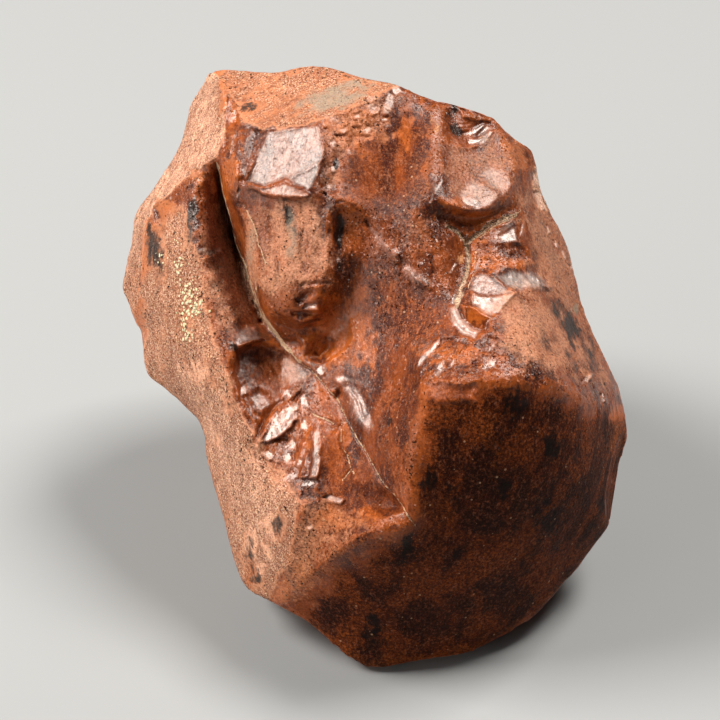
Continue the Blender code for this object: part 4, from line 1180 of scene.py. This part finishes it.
def naturalVolcanicGlass():
    # mahogany obsidian, a natural glass: satin where it broke long ago, glossy where it chipped, frosted where
    # sand wore it, with dust and crust in its cracks
    look = volcanicGlass
    material = bpy.data.materials.new("naturalVolcanicGlass")
    material.use_nodes = True
    tree = material.node_tree
    tree.nodes.clear()
    place = addNode(tree, "TexCoord", {}, "Object")
    stretch = {"Vector": place, "Rotation": (-lookDown, 0, 0), "Scale": (1, 1, look["flowStretch"])}
    flow = addNode(tree, "Mapping", stretch, vector_type="TEXTURE")
    noise = {}
    for name, (sizeMm, streaky, detail, roughness, distortion) in look["noises"].items():
        noise[name] = addNode(tree, "TexNoise", {
            "Vector": flow if streaky else place, "Scale": 1000 / sizeMm, "Detail": detail,
            "Roughness": roughness, "Distortion": distortion}, "Fac")
    cells = addNode(tree, "TexVoronoi", {"Vector": place, "Scale": 1000 / look["cellMm"]}, "Color")
    noise["cell"] = addNode(tree, "SeparateColor", {"Color": cells}, "Green")
    dots = addNode(tree, "TexVoronoi", {"Vector": place, "Scale": 1000 / look["dotMm"]}, "Distance")
    noise["dot"] = addNode(tree, "Math", {0: 1.0, 1: dots}, operation="SUBTRACT")
    names = {coat[0] for coat in coats if coat[0]} | {"gloss", "matt"}
    mark = {name: addNode(tree, "Attribute", {}, "Fac", attribute_name=name) for name in sorted(names)}

    colour = linear(look["colours"]["deep"])
    for name, breakUp, amount, start, full, top, paint in coats:
        depth = addNode(tree, "Math", {0: noise[breakUp], 1: amount, 2: mark[name] if name else 0.0},
                        operation="MULTIPLY_ADD")
        share = addNode(tree, "MapRange", {"Value": depth, "From Min": start, "From Max": full, "To Max": top},
                        interpolation_type="SMOOTHSTEP")
        colours = {0: share, 6: colour, 7: linear(look["colours"][paint])}
        colour = addNode(tree, "Mix", colours, 2, data_type="RGBA")

    spot = {"Vector": place, "Scale": 1000 / look["fleckMm"]}
    distance = addNode(tree, "TexVoronoi", spot, "Distance")
    lot = addNode(tree, "TexVoronoi", spot, "Color")
    lot = addNode(tree, "SeparateColor", {"Color": lot}, "Red")
    lowest, highest = look["fleckLots"]
    radius = addNode(tree, "MapRange", {
        "Value": lot, "From Min": lowest, "From Max": highest, "To Max": look["fleckRadius"]})
    fleck = addNode(tree, "Math", {0: distance, 1: radius}, operation="LESS_THAN")
    fleck = addNode(tree, "Math", {0: fleck, 1: look["fleckStrength"]}, operation="MULTIPLY")
    colours = {0: fleck, 6: colour, 7: linear(look["colours"]["fleck"])}
    colour = addNode(tree, "Mix", colours, 2, data_type="RGBA")

    roughness = look["roughness"]
    for name, amount in roughnessShares.items():
        roughness = addNode(tree, "Math", {0: mark[name], 1: amount, 2: roughness}, operation="MULTIPLY_ADD")
    height = 0.0
    calm = addNode(tree, "Math", {0: mark["gloss"], 1: -look["glossCalm"], 2: 1.0}, operation="MULTIPLY_ADD")
    for breakUp, name, amount in bumps:
        part = addNode(tree, "Math", {0: noise[breakUp], 1: amount}, operation="MULTIPLY")
        height = addNode(tree, "Math", {0: part, 1: mark[name] if name else 1.0, 2: height},
                         operation="MULTIPLY_ADD")
    normal = addNode(tree, "Bump", {"Height": height, "Strength": calm, "Distance": 0.001})

    tilt = look["glitterTilt"]
    for name, amount in glitterShares.items():
        tilt = addNode(tree, "Math", {0: mark[name], 1: amount, 2: tilt}, operation="MULTIPLY_ADD")
    lean = addNode(tree, "TexVoronoi", {"Vector": place, "Scale": 1000 / look["glitterMm"]}, "Color")
    lean = addNode(tree, "VectorMath", {0: lean, 1: (0.5, 0.5, 0.5)}, operation="SUBTRACT")
    lean = addNode(tree, "VectorMath", {0: lean, "Scale": tilt}, operation="SCALE")
    spark = addNode(tree, "Math", {0: noise["cell"], 1: look["sparkRarity"]}, operation="POWER")
    spark = addNode(tree, "Math", {0: spark, 1: look["sparkGain"], 2: look["leastSpark"]},
                    operation="MULTIPLY_ADD")
    spark = addNode(tree, "Math", {0: spark, 1: calm}, operation="MULTIPLY")
    lean = addNode(tree, "VectorMath", {0: lean, "Scale": spark}, operation="SCALE")
    normal = addNode(tree, "VectorMath", {0: normal, 1: lean}, operation="ADD")
    normal = addNode(tree, "VectorMath", {0: normal}, operation="NORMALIZE")

    shine = addNode(tree, "Math", {0: mark["matt"], 1: look["mattLoss"], 2: look["shine"]},
                    operation="MULTIPLY_ADD")
    shader = addNode(tree, "BsdfPrincipled", {
        "Base Color": colour, "Roughness": roughness, "Normal": normal, "IOR": look["ior"],
        "Specular IOR Level": shine, "Specular Tint": linear(look["sheen"]),
        "Subsurface Weight": look["glow"], "Subsurface Radius": look["glowSpread"],
        "Subsurface Scale": look["glowReachM"],
    })
    end = tree.nodes.new("ShaderNodeOutputMaterial")
    tree.links.new(shader, end.inputs["Surface"])
    return material


def carveStone(stone, tree):
    # makes every break, chip and ripple, working in millimetres
    mesh = stone.data
    edges = readEdges(mesh)
    points, normals = readPoints(mesh) * 1000, readNormals(mesh)
    solid = points.copy()
    foot = smoothStep(0.3, 2.5, points[:, 2])  # the resting face stays flat
    carveHiddenSides(points, tree)
    points = wearEdges(points, normals, edges)
    print("stone: hidden sides flaked and edges worn")
    carving = Carving(points / 1000, normals)
    carveFront(carving)
    points = carving.finish() * 1000
    print("stone: front carved,", len(points), "vertices")
    behind = 1 - smoothStep(0, 0.3, carving.facing)
    rugged = behind * smoothStep(0.0, 0.35, noiseAt(solid, stoneShape["ruggedMm"], seed=81, octaves=2))
    picked = np.nonzero(rugged > 0)[0]
    for seed, (size, depth) in enumerate(stoneShape["ruggedChips"], 82):
        hollow = scallopsAt(solid[picked], size, seed, tilt=2.0, bowl=0.4) - middleHeight
        points[picked] += normals[picked] * (rugged[picked] * depth * hollow)[:, None]
    waves = noiseAt(points, sizeMm=9, seed=31, octaves=2) + 0.5 * noiseAt(points, sizeMm=2.6, seed=33)
    swell = stoneShape["swellMm"] * waves
    hackle = 0
    for size, depth in stoneShape["hackles"]:
        hackle = hackle + depth * (scallopsAt(points, size, seed=77) - middleHeight)
    # glossy facets stay flat, and sand has worn the hackles off the frosted faces
    glossy = finishAt(carving.drawn, "gloss") * (carving.facing > 0)
    smooth = np.maximum(areasAt(carving.drawn, frostedAreas, wander=0) * (carving.facing > 0), glossy)
    hackle *= 1 - 0.85 * smooth
    swell *= 1 - 0.75 * glossy
    points += normals * (swell + hackle)[:, None]
    points = smoothed(points, edges, rounds=1, pull=0.3)
    points = solid + (points - solid) * foot[:, None]
    writePoints(mesh, points / 1000)


stone, solidTree = roughOut(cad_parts["obsidian_stone"], "obsidianStone")
carveStone(stone, solidTree)
thinOut(stone)
stone.data.shade_smooth()
markFinishes(stone)
stone.data.materials.clear()
stone.data.materials.append(naturalVolcanicGlass())
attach(stone, "root")
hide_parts("obsidian_stone")
print("stone: finished with", len(stone.data.polygons), "faces")


def areaLight(name):
    away = Vector(np.array(Vector(studio[name + "From"]).normalized()) @ sheetAxes)
    lamp = bpy.data.lights.new(name + "Light", "AREA")
    lamp.energy = studio[name + "Watts"]
    lamp.size = studio[name + "Mm"] / 1000
    light = bpy.data.objects.new(name + "Light", lamp)
    light.location = middleM + away * studio[name + "M"]
    light.rotation_euler = away.to_track_quat("Z", "Y").to_euler()
    bpy.context.scene.collection.objects.link(light)


def palePaper():
    # matt studio paper: no gloss at all under the stone
    material = bpy.data.materials.new("mattStudioPaper")
    material.use_nodes = True
    shader = material.node_tree.nodes["Principled BSDF"]
    shader.inputs["Base Color"].default_value = linear(studio["floorColour"])
    shader.inputs["Roughness"].default_value = studio["floorRoughness"]
    return material


def layFloor():
    mesh = bpy.data.meshes.new("studioFloor")
    bm = bmesh.new()
    bmesh.ops.create_grid(bm, x_segments=1, y_segments=1, size=studio["floorHalfM"])
    bm.to_mesh(mesh)
    bm.free()
    mesh.materials.append(palePaper())
    floor = bpy.data.objects.new("studioFloor", mesh)
    bpy.context.scene.collection.objects.link(floor)


def hangSky():
    world = bpy.data.worlds.new("studioSky")
    bpy.context.scene.world = world
    world.use_nodes = True
    background = world.node_tree.nodes["Background"]
    background.inputs["Color"].default_value = linear(studio["sky"])
    background.inputs["Strength"].default_value = studio["skyStrength"]


def setCamera():
    lens = bpy.data.cameras.new("camera")
    lens.sensor_width = studio["sensorMm"]
    sheetMm = sheet["squares"] * sheet["squareMm"]  # the camera sees just the sheet, at the stone's middle
    lens.lens = lens.sensor_width * sheet["sightMm"] / sheetMm
    lens.clip_start = studio["nearestM"]
    camera = bpy.data.objects.new("camera", lens)
    sight = Vector((0, -cos(lookDown), sin(lookDown)))
    camera.location = middleM + sight * sheet["sightMm"] / 1000
    camera.rotation_euler = sight.to_track_quat("Z", "Y").to_euler()
    bpy.context.scene.collection.objects.link(camera)
    bpy.context.scene.camera = camera


layFloor()
hangSky()
areaLight("key")
areaLight("back")
areaLight("side")
setCamera()
bpy.context.scene.view_settings.view_transform = "Standard"
print("studio: floor, lights and camera set")
